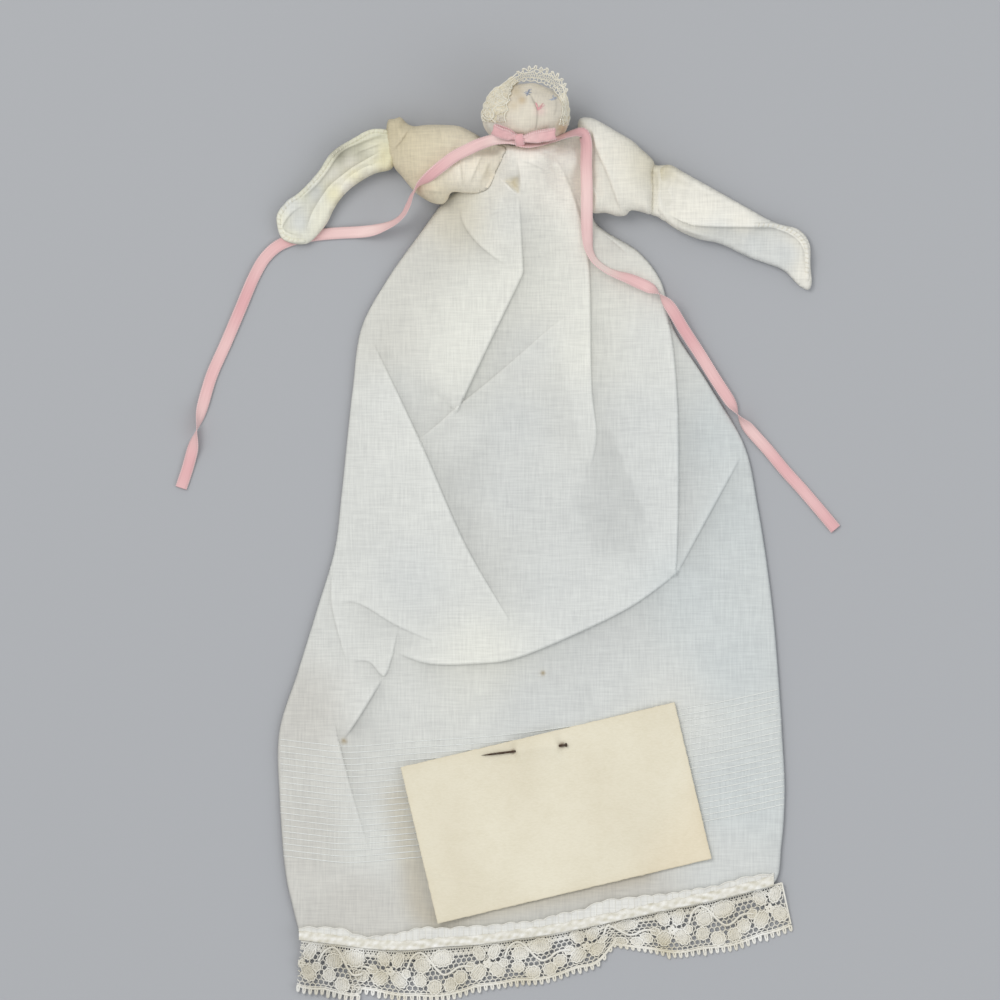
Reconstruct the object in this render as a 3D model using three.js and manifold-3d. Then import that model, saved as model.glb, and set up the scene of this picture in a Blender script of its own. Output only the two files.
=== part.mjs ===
// Handkerchief doll: one lace-edged handkerchief gathered round a ball of stuffing for the head,
// tied at the neck with a ribbon, its upper corners knotted into arms, with a bare card pinned on.
// Millimetres, +Z up. The doll lies on its back, head towards +Y, its right arm towards -X.

import * as THREE from 'three';
import { mergeVertices } from 'three/addons/utils/BufferGeometryUtils.js';
import Module from 'manifold-3d';

const wasm = await Module();
wasm.setup();

// Clearance between neighbouring pieces
const GAP = 0.3;

// Cloth layers, from the table up
const BACK_T = 0.8;
const FRONT_T = 1.0;
const FRONT_Z0 = BACK_T + GAP;
const FRONT_Z1 = FRONT_Z0 + FRONT_T;
const BACK_INSET = 2.5;
const BACK_SPLIT = 3.0;
const BACK_FROM = 0.12;
const BACK_TO = 0.97;

// Skirt outline, neck to hem, the same number of points on both sides
const SKIRT_LEFT = [
  [-11.2, 114.0], [-20.0, 111.0], [-29.5, 107.0], [-40.0, 93.5], [-49.3, 80.2], [-57.4, 65.1],
  [-60.2, 46.0], [-62.0, 29.5], [-63.8, 12.0], [-65.9, -5.0], [-71.5, -24.0], [-77.5, -43.5],
  [-83.4, -62.5], [-83.3, -83.0], [-80.9, -108.0], [-76.8, -130.2],
];
const SKIRT_RIGHT = [
  [0.0, 114.0], [8.0, 107.5], [16.0, 99.0], [30.5, 88.6], [37.2, 79.5], [40.6, 66.0],
  [52.4, 47.0], [63.6, 27.5], [67.6, 9.0], [70.4, -8.4], [72.6, -26.0], [74.2, -45.0],
  [75.3, -62.0], [76.2, -82.0], [75.2, -98.0], [73.0, -113.2],
];
const HEM = [
  [-76.8, -130.2], [-42.8, -130.9], [-10.3, -128.2], [22.4, -121.6], [55.0, -116.2],
  [73.0, -113.2],
];
const HEM_PULL = 4;

// Folds of the skirt front: the line of each fold's edge, the line where its panel leaves the
// cloth below, and the height of the edge above that cloth
const FOLDS = [
  { // upper left panel over the middle
    edge: [[-7.0, 104.0], [-6.4, 82.0], [-17.0, 60.5], [-27.5, 39.4], [-39.0, 29.5]],
    leaves: [[-14.0, 103.0], [-22.0, 84.0], [-36.0, 62.0], [-45.0, 45.0], [-47.0, 37.0]],
    rise: [0.6, 1.8, 2.2, 1.9, 0.5],
  },
  { // left panel over the middle, lower down
    edge: [[-54.1, 60.8], [-39.2, 29.5], [-24.6, -3.8], [-9.9, -29.1]],
    leaves: [[-56.5, 58.0], [-53.0, 27.0], [-42.0, -5.0], [-19.0, -31.0]],
    rise: [0.5, 1.7, 1.9, 0.3],
  },
  { // middle panel over the right one
    edge: [[11.5, 101.7], [14.2, 86.3], [15.2, 45.1], [16.6, 30.5], [14.6, 19.8]],
    leaves: [[4.0, 99.5], [3.0, 85.0], [4.0, 45.0], [8.0, 30.0], [11.0, 21.0]],
    rise: [0.6, 1.3, 1.2, 0.8, 0.2],
  },
  { // right panel over the edge panel
    edge: [[37.1, 75.0], [40.0, 64.1], [42.1, 42.7], [42.5, 12.2], [41.8, -12.0]],
    leaves: [[29.0, 74.0], [29.0, 63.0], [30.0, 42.0], [31.0, 12.0], [36.0, -9.0]],
    rise: [0.5, 1.1, 1.5, 1.5, 0.8],
  },
  { // edge panel's slanting crease
    edge: [[42.6, -11.6], [53.0, 7.5], [62.6, 25.0]],
    leaves: [[44.5, 2.0], [49.0, 16.0], [57.0, 31.0]],
    rise: [0.7, 1.2, 0.6],
  },
  { // long sagging fold across the lower skirt
    edge: [
      [41.6, -12.8], [28.5, -22.4], [10.4, -31.5], [-9.9, -39.6], [-19.5, -40.9],
      [-36.5, -40.9], [-47.0, -37.4],
    ],
    leaves: [
      [36.0, -3.0], [24.0, -9.0], [8.0, -17.0], [-8.0, -26.0], [-19.0, -28.0],
      [-34.0, -30.0], [-44.0, -33.5],
    ],
    rise: [0.8, 1.5, 1.9, 1.9, 1.7, 1.3, 0.4],
  },
  { // short fold over the left edge
    edge: [[-66.0, -21.6], [-58.9, -21.8], [-46.0, -29.1], [-32.0, -35.0]],
    leaves: [[-63.0, -13.0], [-56.0, -12.0], [-42.0, -20.0], [-29.0, -30.0]],
    rise: [0.4, 1.2, 1.3, 0.3],
  },
  { // turned-over flap at the lower left
    edge: [[-50.5, -45.2], [-58.9, -58.9], [-63.7, -65.8]],
    leaves: [[-55.0, -41.0], [-67.0, -52.0], [-70.0, -63.0]],
    rise: [1.0, 1.6, 0.5],
  },
  { // crease running down from the flap
    edge: [[-66.4, -58.0], [-64.0, -68.5], [-54.8, -101.8]],
    leaves: [[-76.0, -58.0], [-74.0, -70.0], [-62.0, -103.0]],
    rise: [0.4, 1.1, 0.2],
  },
];
const FOLD_SINK = FRONT_T / 2;
const FOLD_START = 0.15;

// Neck, on the head's axis, and the share of its radius that the gathered chest comes up to
const NECK_X = -5.6;
const NECK_Y = 121.0;
const NECK_R = 6.0;
const NECK_WAIST_R = 4.6;
const NECK_TOP_Y = 122.0;
const NECK_FRONT = 0.6;
const NECK_FLUTES = 10;
const NECK_FLUTE_DEPTH = 0.4;
const THREAD_D = 0.8;

// Chest: how far the gathers fall from the neck, straight down and towards the sleeves
const CHEST_REACH = 44.0;
const SHOULDER_REACH = 12.6;
const CHEST_SECTOR = THREE.MathUtils.degToRad(33);

// Head, an oblate ball open at the neck
const HEAD_R = 13.8;
const HEAD_HALF = 10.4;
const HEAD_WALL = 1.0;
const HEAD_OPEN_R = 5.0;
const HEAD_DIMPLE = 0.5;
const HEAD_GATHERS = 12;
const HEAD_Z = HEAD_R + GAP;
const HEAD_Y = NECK_TOP_Y + HEAD_HALF * Math.sqrt(1 - (HEAD_OPEN_R / HEAD_R) ** 2);

// Stitched face, as distances from the middle of the head
const EYE_R = 1.3;
const EYE_POINTS = 6;
const STITCH_T = 0.4;
const RIGHT_EYE = [0.6, 7.0];
const LEFT_EYE = [8.6, 5.2];
const MOUTH_AT = [4.3, 2.7];
const MOUTH_W = 2.8;
const MOUTH_DROP = 1.5;
const MOUTH_LINE = 0.55;

// Lace cap: its face edge and its outer edge, as distances from the middle of the head
const CAP_T = 0.7;
const CAP_TEETH = 22;
const CAP_TOOTH = 0.6;
const CAP_INNER = [
  [-4.2, -2.4, 12.6], [-4.9, 1.0, 12.6], [-4.4, 6.2, 10.0], [-2.5, 9.6, 6.0], [1.5, 10.6, 5.0],
  [6.4, 9.5, 5.0], [10.4, 6.0, 6.0], [10.0, 1.2, 9.0], [9.0, -2.2, 10.0],
];
const CAP_OUTER = [
  [-13.4, -2.4, 5.0], [-14.2, 1.6, 4.0], [-12.0, 8.2, 5.0], [-8.5, 13.6, 5.0], [2.8, 14.9, 6.0],
  [11.8, 12.8, 5.0], [13.9, 7.0, 3.0], [13.9, 1.6, 4.0], [13.2, -2.2, 4.0],
];

// Sleeves: stations across the arm, as [x, lower y, upper y, height above the arm's underside]
const ARM_Z0 = FRONT_Z1 + GAP;
const SLEEVE_SQUARE = 2.5;
const SLEEVE_SIDES = 18;
const SLEEVE_CREASES = 5;
const PUFF_CREASE = 0.1;
const KNOT_CREASE = 0.16;
const FLAT_CREASE = 0.08;
const RIGHT_SLEEVE = [
  [-19.2, 111.0, 123.6, 9.0], [-22.5, 107.6, 126.0, 12.0], [-27.0, 106.0, 128.3, 13.6],
  [-31.5, 104.2, 128.9, 14.0], [-36.0, 105.0, 128.9, 13.6], [-40.0, 108.0, 128.0, 12.0],
  [-42.0, 110.6, 127.0, 10.5],
];
const LEFT_SLEEVE = [
  [11.4, 110.0, 129.4, 5.4], [13.4, 104.4, 131.0, 6.8], [16.5, 101.6, 130.5, 7.6],
  [20.5, 101.0, 128.4, 8.6], [24.5, 100.4, 126.2, 9.2], [28.5, 101.0, 123.6, 9.0],
  [31.5, 101.3, 120.8, 8.0], [34.0, 101.2, 118.0, 6.6],
];
const RIGHT_KNOT = [
  [-42.0, 112.0, 128.6, 10.6], [-44.0, 112.6, 131.0, 12.2], [-46.2, 114.0, 130.0, 12.0],
  [-48.0, 114.6, 128.4, 11.0], [-50.2, 115.7, 127.3, 9.6], [-52.0, 117.7, 125.3, 8.0],
];
const LEFT_KNOT = [
  [34.0, 102.4, 116.4, 5.8], [36.0, 102.6, 115.4, 5.6], [38.4, 102.4, 115.0, 6.2],
  [40.3, 103.4, 114.0, 6.2], [41.9, 105.6, 111.8, 5.6],
];
// Pivot of each hand, in its knot, and the knot's round reach towards the hand
const RIGHT_WRIST = [-46.0, 121.5];
const LEFT_WRIST = [36.0, 108.7];
const WRIST_R = 7.2;

// Hands: stations from knot to tip, the outer and the inner edge, and the edge's height
const HAND_EDGE_T = 1.0;
const HAND_TIP_Z0 = 1.2;
const RIGHT_HAND = [
  [-48.4, 127.6, -48.4, 115.4, 8.2], [-55.0, 127.4, -54.0, 113.3, 6.4],
  [-61.0, 124.3, -59.5, 109.9, 5.2], [-67.0, 120.0, -63.5, 106.2, 4.6],
  [-71.8, 113.6, -66.2, 101.6, 4.2], [-77.2, 107.6, -69.0, 97.0, 3.8],
  [-82.0, 103.5, -71.2, 94.2, 3.4], [-84.2, 98.6, -73.6, 92.4, 3.0],
  [-82.9, 93.6, -77.0, 91.5, 2.6],
];
const RIGHT_HAND_PROFILE = [
  [0.0, 0.7], [0.08, 1.0], [0.2, 0.85], [0.3, 0.25], [0.5, 0.1], [0.6, 0.45], [0.7, 0.3],
  [0.86, 0.9], [1.0, 0.65],
];
const LEFT_HAND = [
  [37.9, 115.4, 37.9, 100.4, 6.0], [44.0, 114.1, 43.0, 95.4, 7.0],
  [52.0, 110.1, 51.0, 92.4, 6.4], [60.0, 105.6, 59.0, 90.2, 5.4],
  [67.5, 101.2, 67.0, 86.2, 4.4], [75.0, 97.4, 74.0, 83.6, 3.6],
  [81.4, 95.0, 79.0, 80.4, 3.2], [84.3, 90.0, 81.8, 78.0, 2.8],
  [84.6, 83.0, 83.4, 77.2, 2.4],
];
const LEFT_HAND_HEM = [0.92, 0.8, 0.68, 0.56, 0.3, 0.24, 0.24, 0.26, 0.3];

// Lace edging, flat and straight: repeats along it and rows of net across it
const LACE_T = 0.8;
const LACE_H = 13.5;
const LACE_Z0 = 0.3;
const LACE_REPEATS = 5;
const NET_PITCH = 3.7;
const NET_HOLE_R = 1.3;
const NET_MARGIN = 1.0;
const NET_OPEN = 0.85;
const SCALLOP = 1.0;
const PICOT_PITCH = 2.3;
const PICOT_L = 2.2;
const FLOWER_PETALS = 5;
const FLOWER_PETAL_R = 2.2;
const FLOWER_RING_R = 3.0;
const FLOWER_AT = [0.27, 0.5];
const DOT_R = 1.5;
const DOTS = [[0.56, 0.65], [0.68, 0.71], [0.8, 0.71], [0.92, 0.65]];
const LEAVES = [[0.62, 0.28, 0.5], [0.86, 0.28, -0.5]];
const LACE_TUCK_X = 24.0;
const LACE_TUCK_W = 8.0;
const LACE_TUCK = 0.42;

// Heading: the edging's ruffled band over the hem
const HEADING_H = 4.3;
const HEADING_LAP = 1.2;
const HEADING_T = 0.7;
const RUFFLE_RISE = 0.45;
const RUFFLE_PITCH = 8.5;

// Ribbon
const RIBBON_W = 4.0;
const RIBBON_T = 0.45;
const RIBBON_STEP = 6.0;
const BAND_Y = 119.0;
const BOW_LOOP_L = 10.5;
const BOW_LOOP_H = 2.2;
const BOW_SMALL = 0.62;
const BOW_TILT = THREE.MathUtils.degToRad(42);
const BOW_KNOT = [2.6, 2.4, 2.0];
const BOW_REST_Y = 124.5;
const BOW_KNOT_AT = [-6.8, 122.4, 0.6];
const BOW_LEFT = { at: [-3.9, 124.8, 3.7], turn: 0.1, lean: 0.2 };
const BOW_RIGHT = { at: [-10.0, 125.2, 3.4], turn: Math.PI - 0.2, lean: 0.1 };

// Routes of the ribbon, chosen by hand
const RIGHT_SHOULDER_ROUTE = [
  [-9.6, 122.8, 24.6, -40], [-12.2, 123.2, 23.6, -40], [-14.8, 123.2, 22.0, -30],
  [-17.4, 122.9, 19.9, -15],
];
const RIGHT_TAIL_ROUTE = [
  [-17.8, 122.8, 19.5, -15], [-19.6, 122.4, 18.1, -8], [-23.2, 121.4, 17.4], [-27.9, 119.0, 17.6],
  [-32.7, 115.4, 17.4], [-36.5, 112.2, 16.5], [-39.6, 109.6, 14.4], [-41.6, 106.6, 11.8], [-42.8, 103.4, 8.8],
  [-44.0, 100.6, 6.6], [-46.2, 98.3, 5.0], [-50.0, 96.6, 3.6], [-54.0, 95.6, 1.6],
  [-58.0, 95.2, 0.5], [-64.2, 94.9, 0.4], [-72.1, 94.2, 0.4], [-78.5, 93.0, 0.4],
  [-83.8, 90.8, 0.4],
  [-87.9, 87.0, 0.4], [-91.1, 81.6, 0.4], [-95.8, 70.6, 0.4], [-100.5, 59.5, 0.4],
  [-104.7, 50.0, 0.4], [-107.5, 40.6, 0.4], [-110.7, 26.4, 0.4], [-114.4, 14.4, 0.4],
];
const LEFT_SHOULDER_ROUTE = [
  [-4.0, 122.4, 24.6, 50], [-0.6, 122.9, 23.4, 50], [3.6, 124.2, 21.0, 50],
  [7.2, 125.8, 17.4, 35], [10.2, 127.2, 13.9, 10],
];
const LEFT_TAIL_ROUTE = [
  [12.6, 126.4, 12.4], [13.4, 122.7, 11.5], [13.6, 116.3, 10.9], [13.7, 108.4, 10.9],
  [13.7, 103.0, 10.5], [13.7, 98.0, 8.8], [13.9, 93.4, 6.6], [14.8, 88.6, 4.6],
  [17.4, 84.6, 4.2], [22.6, 81.9, 4.2], [27.9, 80.3, 4.2], [33.0, 78.1, 4.3],
  [37.1, 75.3, 4.3], [40.6, 70.9, 4.0], [44.7, 63.9, 2.4], [49.4, 56.7, 1.2],
  [54.5, 48.5, 1.4], [58.9, 41.8, 1.0], [62.0, 36.8, 0.6], [65.8, 32.0, 0.4],
  [70.9, 26.4, 0.4], [76.2, 20.0, 0.4], [81.9, 13.7, 0.4], [87.3, 7.4, 0.4], [92.3, 1.4, 0.4],
];

// Card and the straight pin that runs over, under and over it
const CARD_W = 88.9;
const CARD_H = 50.8;
const CARD_T = 0.5;
const CARD_AT = [4.0, -88.2];
const CARD_TURN = THREE.MathUtils.degToRad(13.35);
const PIN_D = 0.7;
const PIN_L = 26.9;
const PIN_TIP_L = 4.0;
const PIN_HEAD_D = 1.4;
const PIN_HEAD_T = 0.7;
const PIN_HEAD_A = 7.7;
const PIN_UNDER = 16.0;
const PIN_FROM_TOP = 5.2;
const PIN_TILT = THREE.MathUtils.degToRad(-6.3);
const PIN_SLOT_L = 5.0;
const ARCH_FADE = 9.0;

// Finishes
const LAWN = { color: 0xd4d6d2, roughness: 0.95 };
const LAWN_AGED = { color: 0xe6e0d0, roughness: 0.95 };
const LAWN_YELLOWED = { color: 0xdad5b4, roughness: 0.95 };
const FACE_CLOTH = { color: 0xe3d3c2, roughness: 0.95 };
const COTTON_LACE = { color: 0xd8d2bf, roughness: 0.9 };
const COTTON_WOOL = { color: 0xf0ece2, roughness: 1.0 };
const PINK_SATIN = { color: 0xeeb9bb, roughness: 0.45 };
const WHITE_THREAD = { color: 0xefeadf, roughness: 0.8 };
const BLUE_THREAD = { color: 0x8ba0bd, roughness: 0.7 };
const PINK_THREAD = { color: 0xe39aa0, roughness: 0.7 };
const AGED_CARD = { color: 0xe4dabf, roughness: 0.9 };
const OLD_STEEL = { color: 0x5b5348, roughness: 0.45, metalness: 0.9 };

const { clamp, lerp, smoothstep } = THREE.MathUtils;
const steps = (count) => Array.from({ length: count + 1 }, (_, i) => i / count);
const point = (x, y, z) => new THREE.Vector3(x, y, z);

// Closed geometry from points and triangles, turned so that its faces point out
function closedGeometry(points, triangles) {
  let volume = 0;
  for (const [a, b, c] of triangles) {
    volume += points[a].dot(point().crossVectors(points[b], points[c]));
  }
  const ordered = volume > 0 ? triangles : triangles.map(([a, b, c]) => [a, c, b]);
  const geometry = new THREE.BufferGeometry().setFromPoints(points);
  geometry.setIndex(ordered.flat());
  return geometry;
}

// A sheet between an upper and a lower surface over the same grid of parameters
function sheetSolid(upper, lower, us, vs) {
  const across = us.length;
  const along = vs.length;
  const points = [upper, lower].flatMap((face) => vs.flatMap((v) => us.map((u) => face(u, v))));
  const at = (side, i, j) => (side * along + j) * across + i;
  const triangles = [];
  const quad = (a, b, c, d) => triangles.push([a, b, c], [a, c, d]);
  for (let j = 0; j < along - 1; j += 1) {
    for (let i = 0; i < across - 1; i += 1) {
      quad(at(0, i, j), at(0, i + 1, j), at(0, i + 1, j + 1), at(0, i, j + 1));
      quad(at(1, i, j + 1), at(1, i + 1, j + 1), at(1, i + 1, j), at(1, i, j));
    }
    quad(at(0, 0, j), at(0, 0, j + 1), at(1, 0, j + 1), at(1, 0, j));
    quad(at(1, across - 1, j), at(1, across - 1, j + 1), at(0, across - 1, j + 1), at(0, across - 1, j));
  }
  for (let i = 0; i < across - 1; i += 1) {
    quad(at(1, i, 0), at(1, i + 1, 0), at(0, i + 1, 0), at(0, i, 0));
    quad(at(0, i, along - 1), at(0, i + 1, along - 1), at(1, i + 1, along - 1), at(1, i, along - 1));
  }
  return closedGeometry(points, triangles);
}

// A skin over rings of equally many points, closed by a fan at each end
function loft(rings) {
  const sides = rings[0].length;
  const points = rings.flat();
  const triangles = [];
  for (let k = 0; k < rings.length - 1; k += 1) {
    for (let i = 0; i < sides; i += 1) {
      const next = (i + 1) % sides;
      const [a, b] = [k * sides + i, k * sides + next];
      triangles.push([a, b, b + sides], [a, b + sides, a + sides]);
    }
  }
  for (const [ring, flip] of [[0, false], [rings.length - 1, true]]) {
    const centre = points.length;
    points.push(rings[ring].reduce((sum, p) => sum.add(p), point(0, 0, 0)).divideScalar(sides));
    for (let i = 0; i < sides; i += 1) {
      const [a, b] = [ring * sides + i, ring * sides + ((i + 1) % sides)];
      triangles.push(flip ? [centre, a, b] : [centre, b, a]);
    }
  }
  return closedGeometry(points, triangles);
}

// The same closed form with shared corners merged and its faces pointing out
function bare(geometry) {
  const copy = geometry.clone();
  copy.deleteAttribute('normal');
  copy.deleteAttribute('uv');
  const { attributes, index } = mergeVertices(copy, 1e-4);
  const corners = steps(attributes.position.count - 1)
    .map((_, i) => point().fromBufferAttribute(attributes.position, i));
  const triangles = steps(index.count / 3 - 1)
    .map((_, i) => [index.getX(3 * i), index.getX(3 * i + 1), index.getX(3 * i + 2)])
    .filter(([a, b, c]) => a !== b && b !== c && c !== a);
  return closedGeometry(corners, triangles);
}

function toSolid(geometry) {
  const { attributes, index } = bare(geometry);
  return new wasm.Manifold(new wasm.Mesh({
    numProp: 3,
    vertProperties: Float32Array.from(attributes.position.array),
    triVerts: Uint32Array.from(index.array),
  }));
}

function fromSolid(solid) {
  const { vertProperties, triVerts } = solid.getMesh();
  const geometry = new THREE.BufferGeometry();
  geometry.setAttribute('position', new THREE.BufferAttribute(Float32Array.from(vertProperties), 3));
  geometry.setIndex(new THREE.BufferAttribute(Uint32Array.from(triVerts), 1));
  return geometry;
}

function named(name, geometry, finish) {
  const shaped = geometry.clone();
  shaped.computeVertexNormals();
  const mesh = new THREE.Mesh(shaped, new THREE.MeshStandardMaterial(finish));
  mesh.name = name;
  return mesh;
}

// A smooth curve through [x, y] or [x, y, z] points
function curve(points) {
  return new THREE.CatmullRomCurve3(points.map(([x, y, z = 0]) => point(x, y, z)), false, 'centripetal');
}

const leftEdge = curve(SKIRT_LEFT);
const rightEdge = curve(SKIRT_RIGHT);
const hemCurve = curve(HEM);
const hemLength = hemCurve.getLength();

function hemHeight(x) {
  const share = clamp((x - HEM[0][0]) / (HEM.at(-1)[0] - HEM[0][0]), 0, 1);
  let low = 0;
  let high = 1;
  for (let turn = 0; turn < 24; turn += 1) {
    const middle = (low + high) / 2;
    if (hemCurve.getPoint(middle).x < lerp(HEM[0][0], HEM.at(-1)[0], share)) low = middle;
    else high = middle;
  }
  return hemCurve.getPoint(low).y;
}

// Upper surface of the skirt's cloth without its folds: flat on the table, rising to the neck
function clothTop(x, y) {
  const away = Math.hypot(x - NECK_X, y - NECK_Y);
  const turn = Math.atan2(x - NECK_X, NECK_Y - y);
  const facing = Math.cos(clamp(turn / CHEST_SECTOR, -1, 1) * Math.PI / 2) ** 2;
  const reach = lerp(SHOULDER_REACH, CHEST_REACH, facing);
  const fall = 1 - smoothstep(away, NECK_R, reach);
  return FRONT_Z1 + (HEAD_Z + NECK_R * NECK_FRONT - FRONT_Z1) * fall;
}

// Place on the skirt: across from the left edge to the right one, along from neck to hem
function skirtPlace(across, along) {
  const left = leftEdge.getPoint(along);
  const right = rightEdge.getPoint(along);
  const place = left.lerp(right, across);
  place.y = lerp(place.y, hemHeight(place.x), along ** HEM_PULL);
  return place;
}

function foldPanel({ edge, leaves, rise }) {
  const rows = steps(edge.length - 1);
  const pick = (list, k) => list[Math.round(k * (edge.length - 1))];
  const place = (s, k) => {
    const [x0, y0] = pick(leaves, k);
    const [x1, y1] = pick(edge, k);
    return [lerp(x0, x1, s), lerp(y0, y1, s)];
  };
  const upper = (s, k) => {
    const [x, y] = place(s, k);
    return point(x, y, clothTop(x, y) - FOLD_START + (pick(rise, k) + FOLD_START) * s);
  };
  const lower = (s, k) => {
    const [x, y] = place(s, k);
    return point(x, y, FRONT_Z0 + FOLD_SINK);
  };
  return sheetSolid(upper, lower, [0, 0.5, 1], rows);
}

function makeSkirtFront() {
  const across = steps(14);
  const along = [0, 0.02, 0.045, 0.075, 0.11, 0.15, 0.2, 0.26, 0.33, 0.42, 0.52, 0.62, 0.72, 0.81,
    0.88, 0.94, 1];
  const upper = (u, v) => {
    const place = skirtPlace(u, v);
    return place.setZ(clothTop(place.x, place.y));
  };
  const lower = (u, v) => skirtPlace(u, v).setZ(FRONT_Z0);
  let cloth = toSolid(sheetSolid(upper, lower, across, along));
  for (const fold of FOLDS) cloth = cloth.add(toSolid(foldPanel(fold)));
  return fromSolid(cloth);
}

// One side of the handkerchief folded behind the skirt, from its edge to the middle
function makeBackPanel(side) {
  const place = (u, v) => {
    const along = lerp(BACK_FROM, BACK_TO, v);
    const left = skirtPlace(0, along);
    const right = skirtPlace(1, along);
    const middle = (left.x + right.x) / 2;
    const outer = side < 0 ? left.x + BACK_INSET : right.x - BACK_INSET;
    const x = lerp(outer, middle + side * BACK_SPLIT / 2, u);
    const share = (x - left.x) / (right.x - left.x);
    return point(x, skirtPlace(share, along).y, 0);
  };
  return sheetSolid((u, v) => place(u, v).setZ(BACK_T), place, steps(5), steps(14));
}

// The hem's frame at a distance along it: its place and its direction away from the skirt
function hemFrame(distance) {
  const share = clamp(distance / hemLength, 0, 1);
  const place = hemCurve.getPointAt(share);
  const tangent = hemCurve.getTangentAt(share);
  return { place, away: point(tangent.y, -tangent.x, 0) };
}

function laceLowerEdge(distance) {
  const phase = (distance / hemLength) * LACE_REPEATS;
  return LACE_H - SCALLOP * Math.abs(Math.cos(Math.PI * phase));
}

// The solid motifs of one repeat, placed by shares of its length and of the lace's height
function inMotif(distance, depth) {
  const repeat = hemLength / LACE_REPEATS;
  const x = distance % repeat;
  const near = (cx, cy, r) => Math.hypot(x - cx, depth - cy) < r;
  const inPetal = (k) => {
    const turn = (k / FLOWER_PETALS) * 2 * Math.PI + Math.PI / 2;
    const cx = FLOWER_AT[0] * repeat + FLOWER_RING_R * Math.cos(turn);
    const cy = FLOWER_AT[1] * LACE_H + FLOWER_RING_R * Math.sin(turn);
    return near(cx, cy, FLOWER_PETAL_R);
  };
  const inDot = ([a, b]) => near(a * repeat, b * LACE_H, DOT_R);
  const inLeaf = ([a, b, lean]) => {
    const [dx, dy] = [x - a * repeat, depth - b * LACE_H];
    const alongLeaf = dx * Math.cos(lean) + dy * Math.sin(lean);
    const acrossLeaf = -dx * Math.sin(lean) + dy * Math.cos(lean);
    return (alongLeaf / (2 * FLOWER_PETAL_R)) ** 2 + (acrossLeaf / DOT_R) ** 2 < 1;
  };
  const petals = [...Array(FLOWER_PETALS).keys()];
  return petals.some(inPetal) || DOTS.some(inDot) || LEAVES.some(inLeaf);
}

// How far the lace's depth is drawn in at the tuck
function tuckShare(distance) {
  const off = (hemFrame(distance).place.x - LACE_TUCK_X) / LACE_TUCK_W;
  return 1 - LACE_TUCK * Math.exp(-(off ** 2));
}

// Place on the underside of the lace, which falls from the hem towards the table
function lacePlace(distance, depth) {
  const { place, away } = hemFrame(distance);
  const out = GAP + depth * tuckShare(distance);
  const fall = lerp(FRONT_Z1 - LACE_T - GAP, LACE_Z0, clamp(depth / LACE_H, 0, 1));
  return point(place.x + away.x * out, place.y + away.y * out, fall);
}

// Places of the net's holes, row by row, clear of the motifs, the edges and the tuck
function netHoles() {
  const rowPitch = NET_PITCH * Math.sqrt(3) / 2;
  const places = [];
  for (let depth = NET_MARGIN + NET_HOLE_R, row = 0; depth < LACE_H; depth += rowPitch, row += 1) {
    const first = NET_MARGIN + NET_HOLE_R + (row % 2) * NET_PITCH / 2;
    for (let along = first; along < hemLength - NET_MARGIN - NET_HOLE_R; along += NET_PITCH) {
      const inside = depth + NET_HOLE_R + NET_MARGIN < laceLowerEdge(along);
      const open = tuckShare(along) > NET_OPEN;
      if (inside && open && !inMotif(along, depth)) places.push(lacePlace(along, depth));
    }
  }
  return places;
}

// A toothed strip, pierced by the net
function makeLace() {
  const teeth = Math.round(hemLength / PICOT_PITCH);
  const lower = (across, share) => {
    const distance = share * hemLength;
    const picot = Math.round(share * 2 * teeth) % 2 ? PICOT_L : 0;
    return lacePlace(distance, across * laceLowerEdge(distance) + (across === 1 ? picot : 0));
  };
  const upper = (across, share) => lower(across, share).add(point(0, 0, LACE_T));
  const strip = toSolid(sheetSolid(upper, lower, [0, 0.88, 1], steps(2 * teeth)));
  const holes = netHoles().map(({ x, y, z }) => {
    const prism = new THREE.CylinderGeometry(NET_HOLE_R, NET_HOLE_R, 4 * LACE_T, 6);
    return toSolid(prism.rotateX(Math.PI / 2).translate(x, y, z));
  });
  return fromSolid(wasm.Manifold.difference([strip, ...holes]));
}

function makeHeading() {
  const ripple = (distance) => Math.sin((2 * Math.PI * distance) / RUFFLE_PITCH);
  const place = (across, share) => {
    const distance = share * hemLength;
    const { place: seam, away } = hemFrame(distance);
    const upperEdge = -HEADING_H + RUFFLE_RISE * ripple(distance * 1.37);
    const out = lerp(HEADING_LAP, upperEdge, across);
    const lift = across * RUFFLE_RISE * (1 + ripple(distance));
    return point(seam.x + away.x * out, seam.y + away.y * out, FRONT_Z1 + GAP + lift);
  };
  const upper = (across, share) => place(across, share).add(point(0, 0, HEADING_T));
  return sheetSolid(upper, place, [0, 0.45, 1], steps(56));
}

// Height of the head's front at a place, with its surface grown by a distance
function headFront(x, y, grown) {
  const across = (x - NECK_X) / (HEAD_R + grown);
  const up = (y - HEAD_Y) / (HEAD_HALF + grown);
  return HEAD_Z + (HEAD_R + grown) * Math.sqrt(Math.max(0, 1 - across ** 2 - up ** 2));
}

function ballProfile(radius, half, fromNeck, count) {
  const start = Math.PI - Math.asin(clamp(fromNeck / radius, 0, 1));
  return steps(count).map((s) => {
    const turn = lerp(start, 0, s);
    return new THREE.Vector2(Math.max(0, radius * Math.sin(turn)), half * Math.cos(turn));
  });
}

function turned(profile, sides) {
  return bare(new THREE.LatheGeometry(profile, sides));
}

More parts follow.
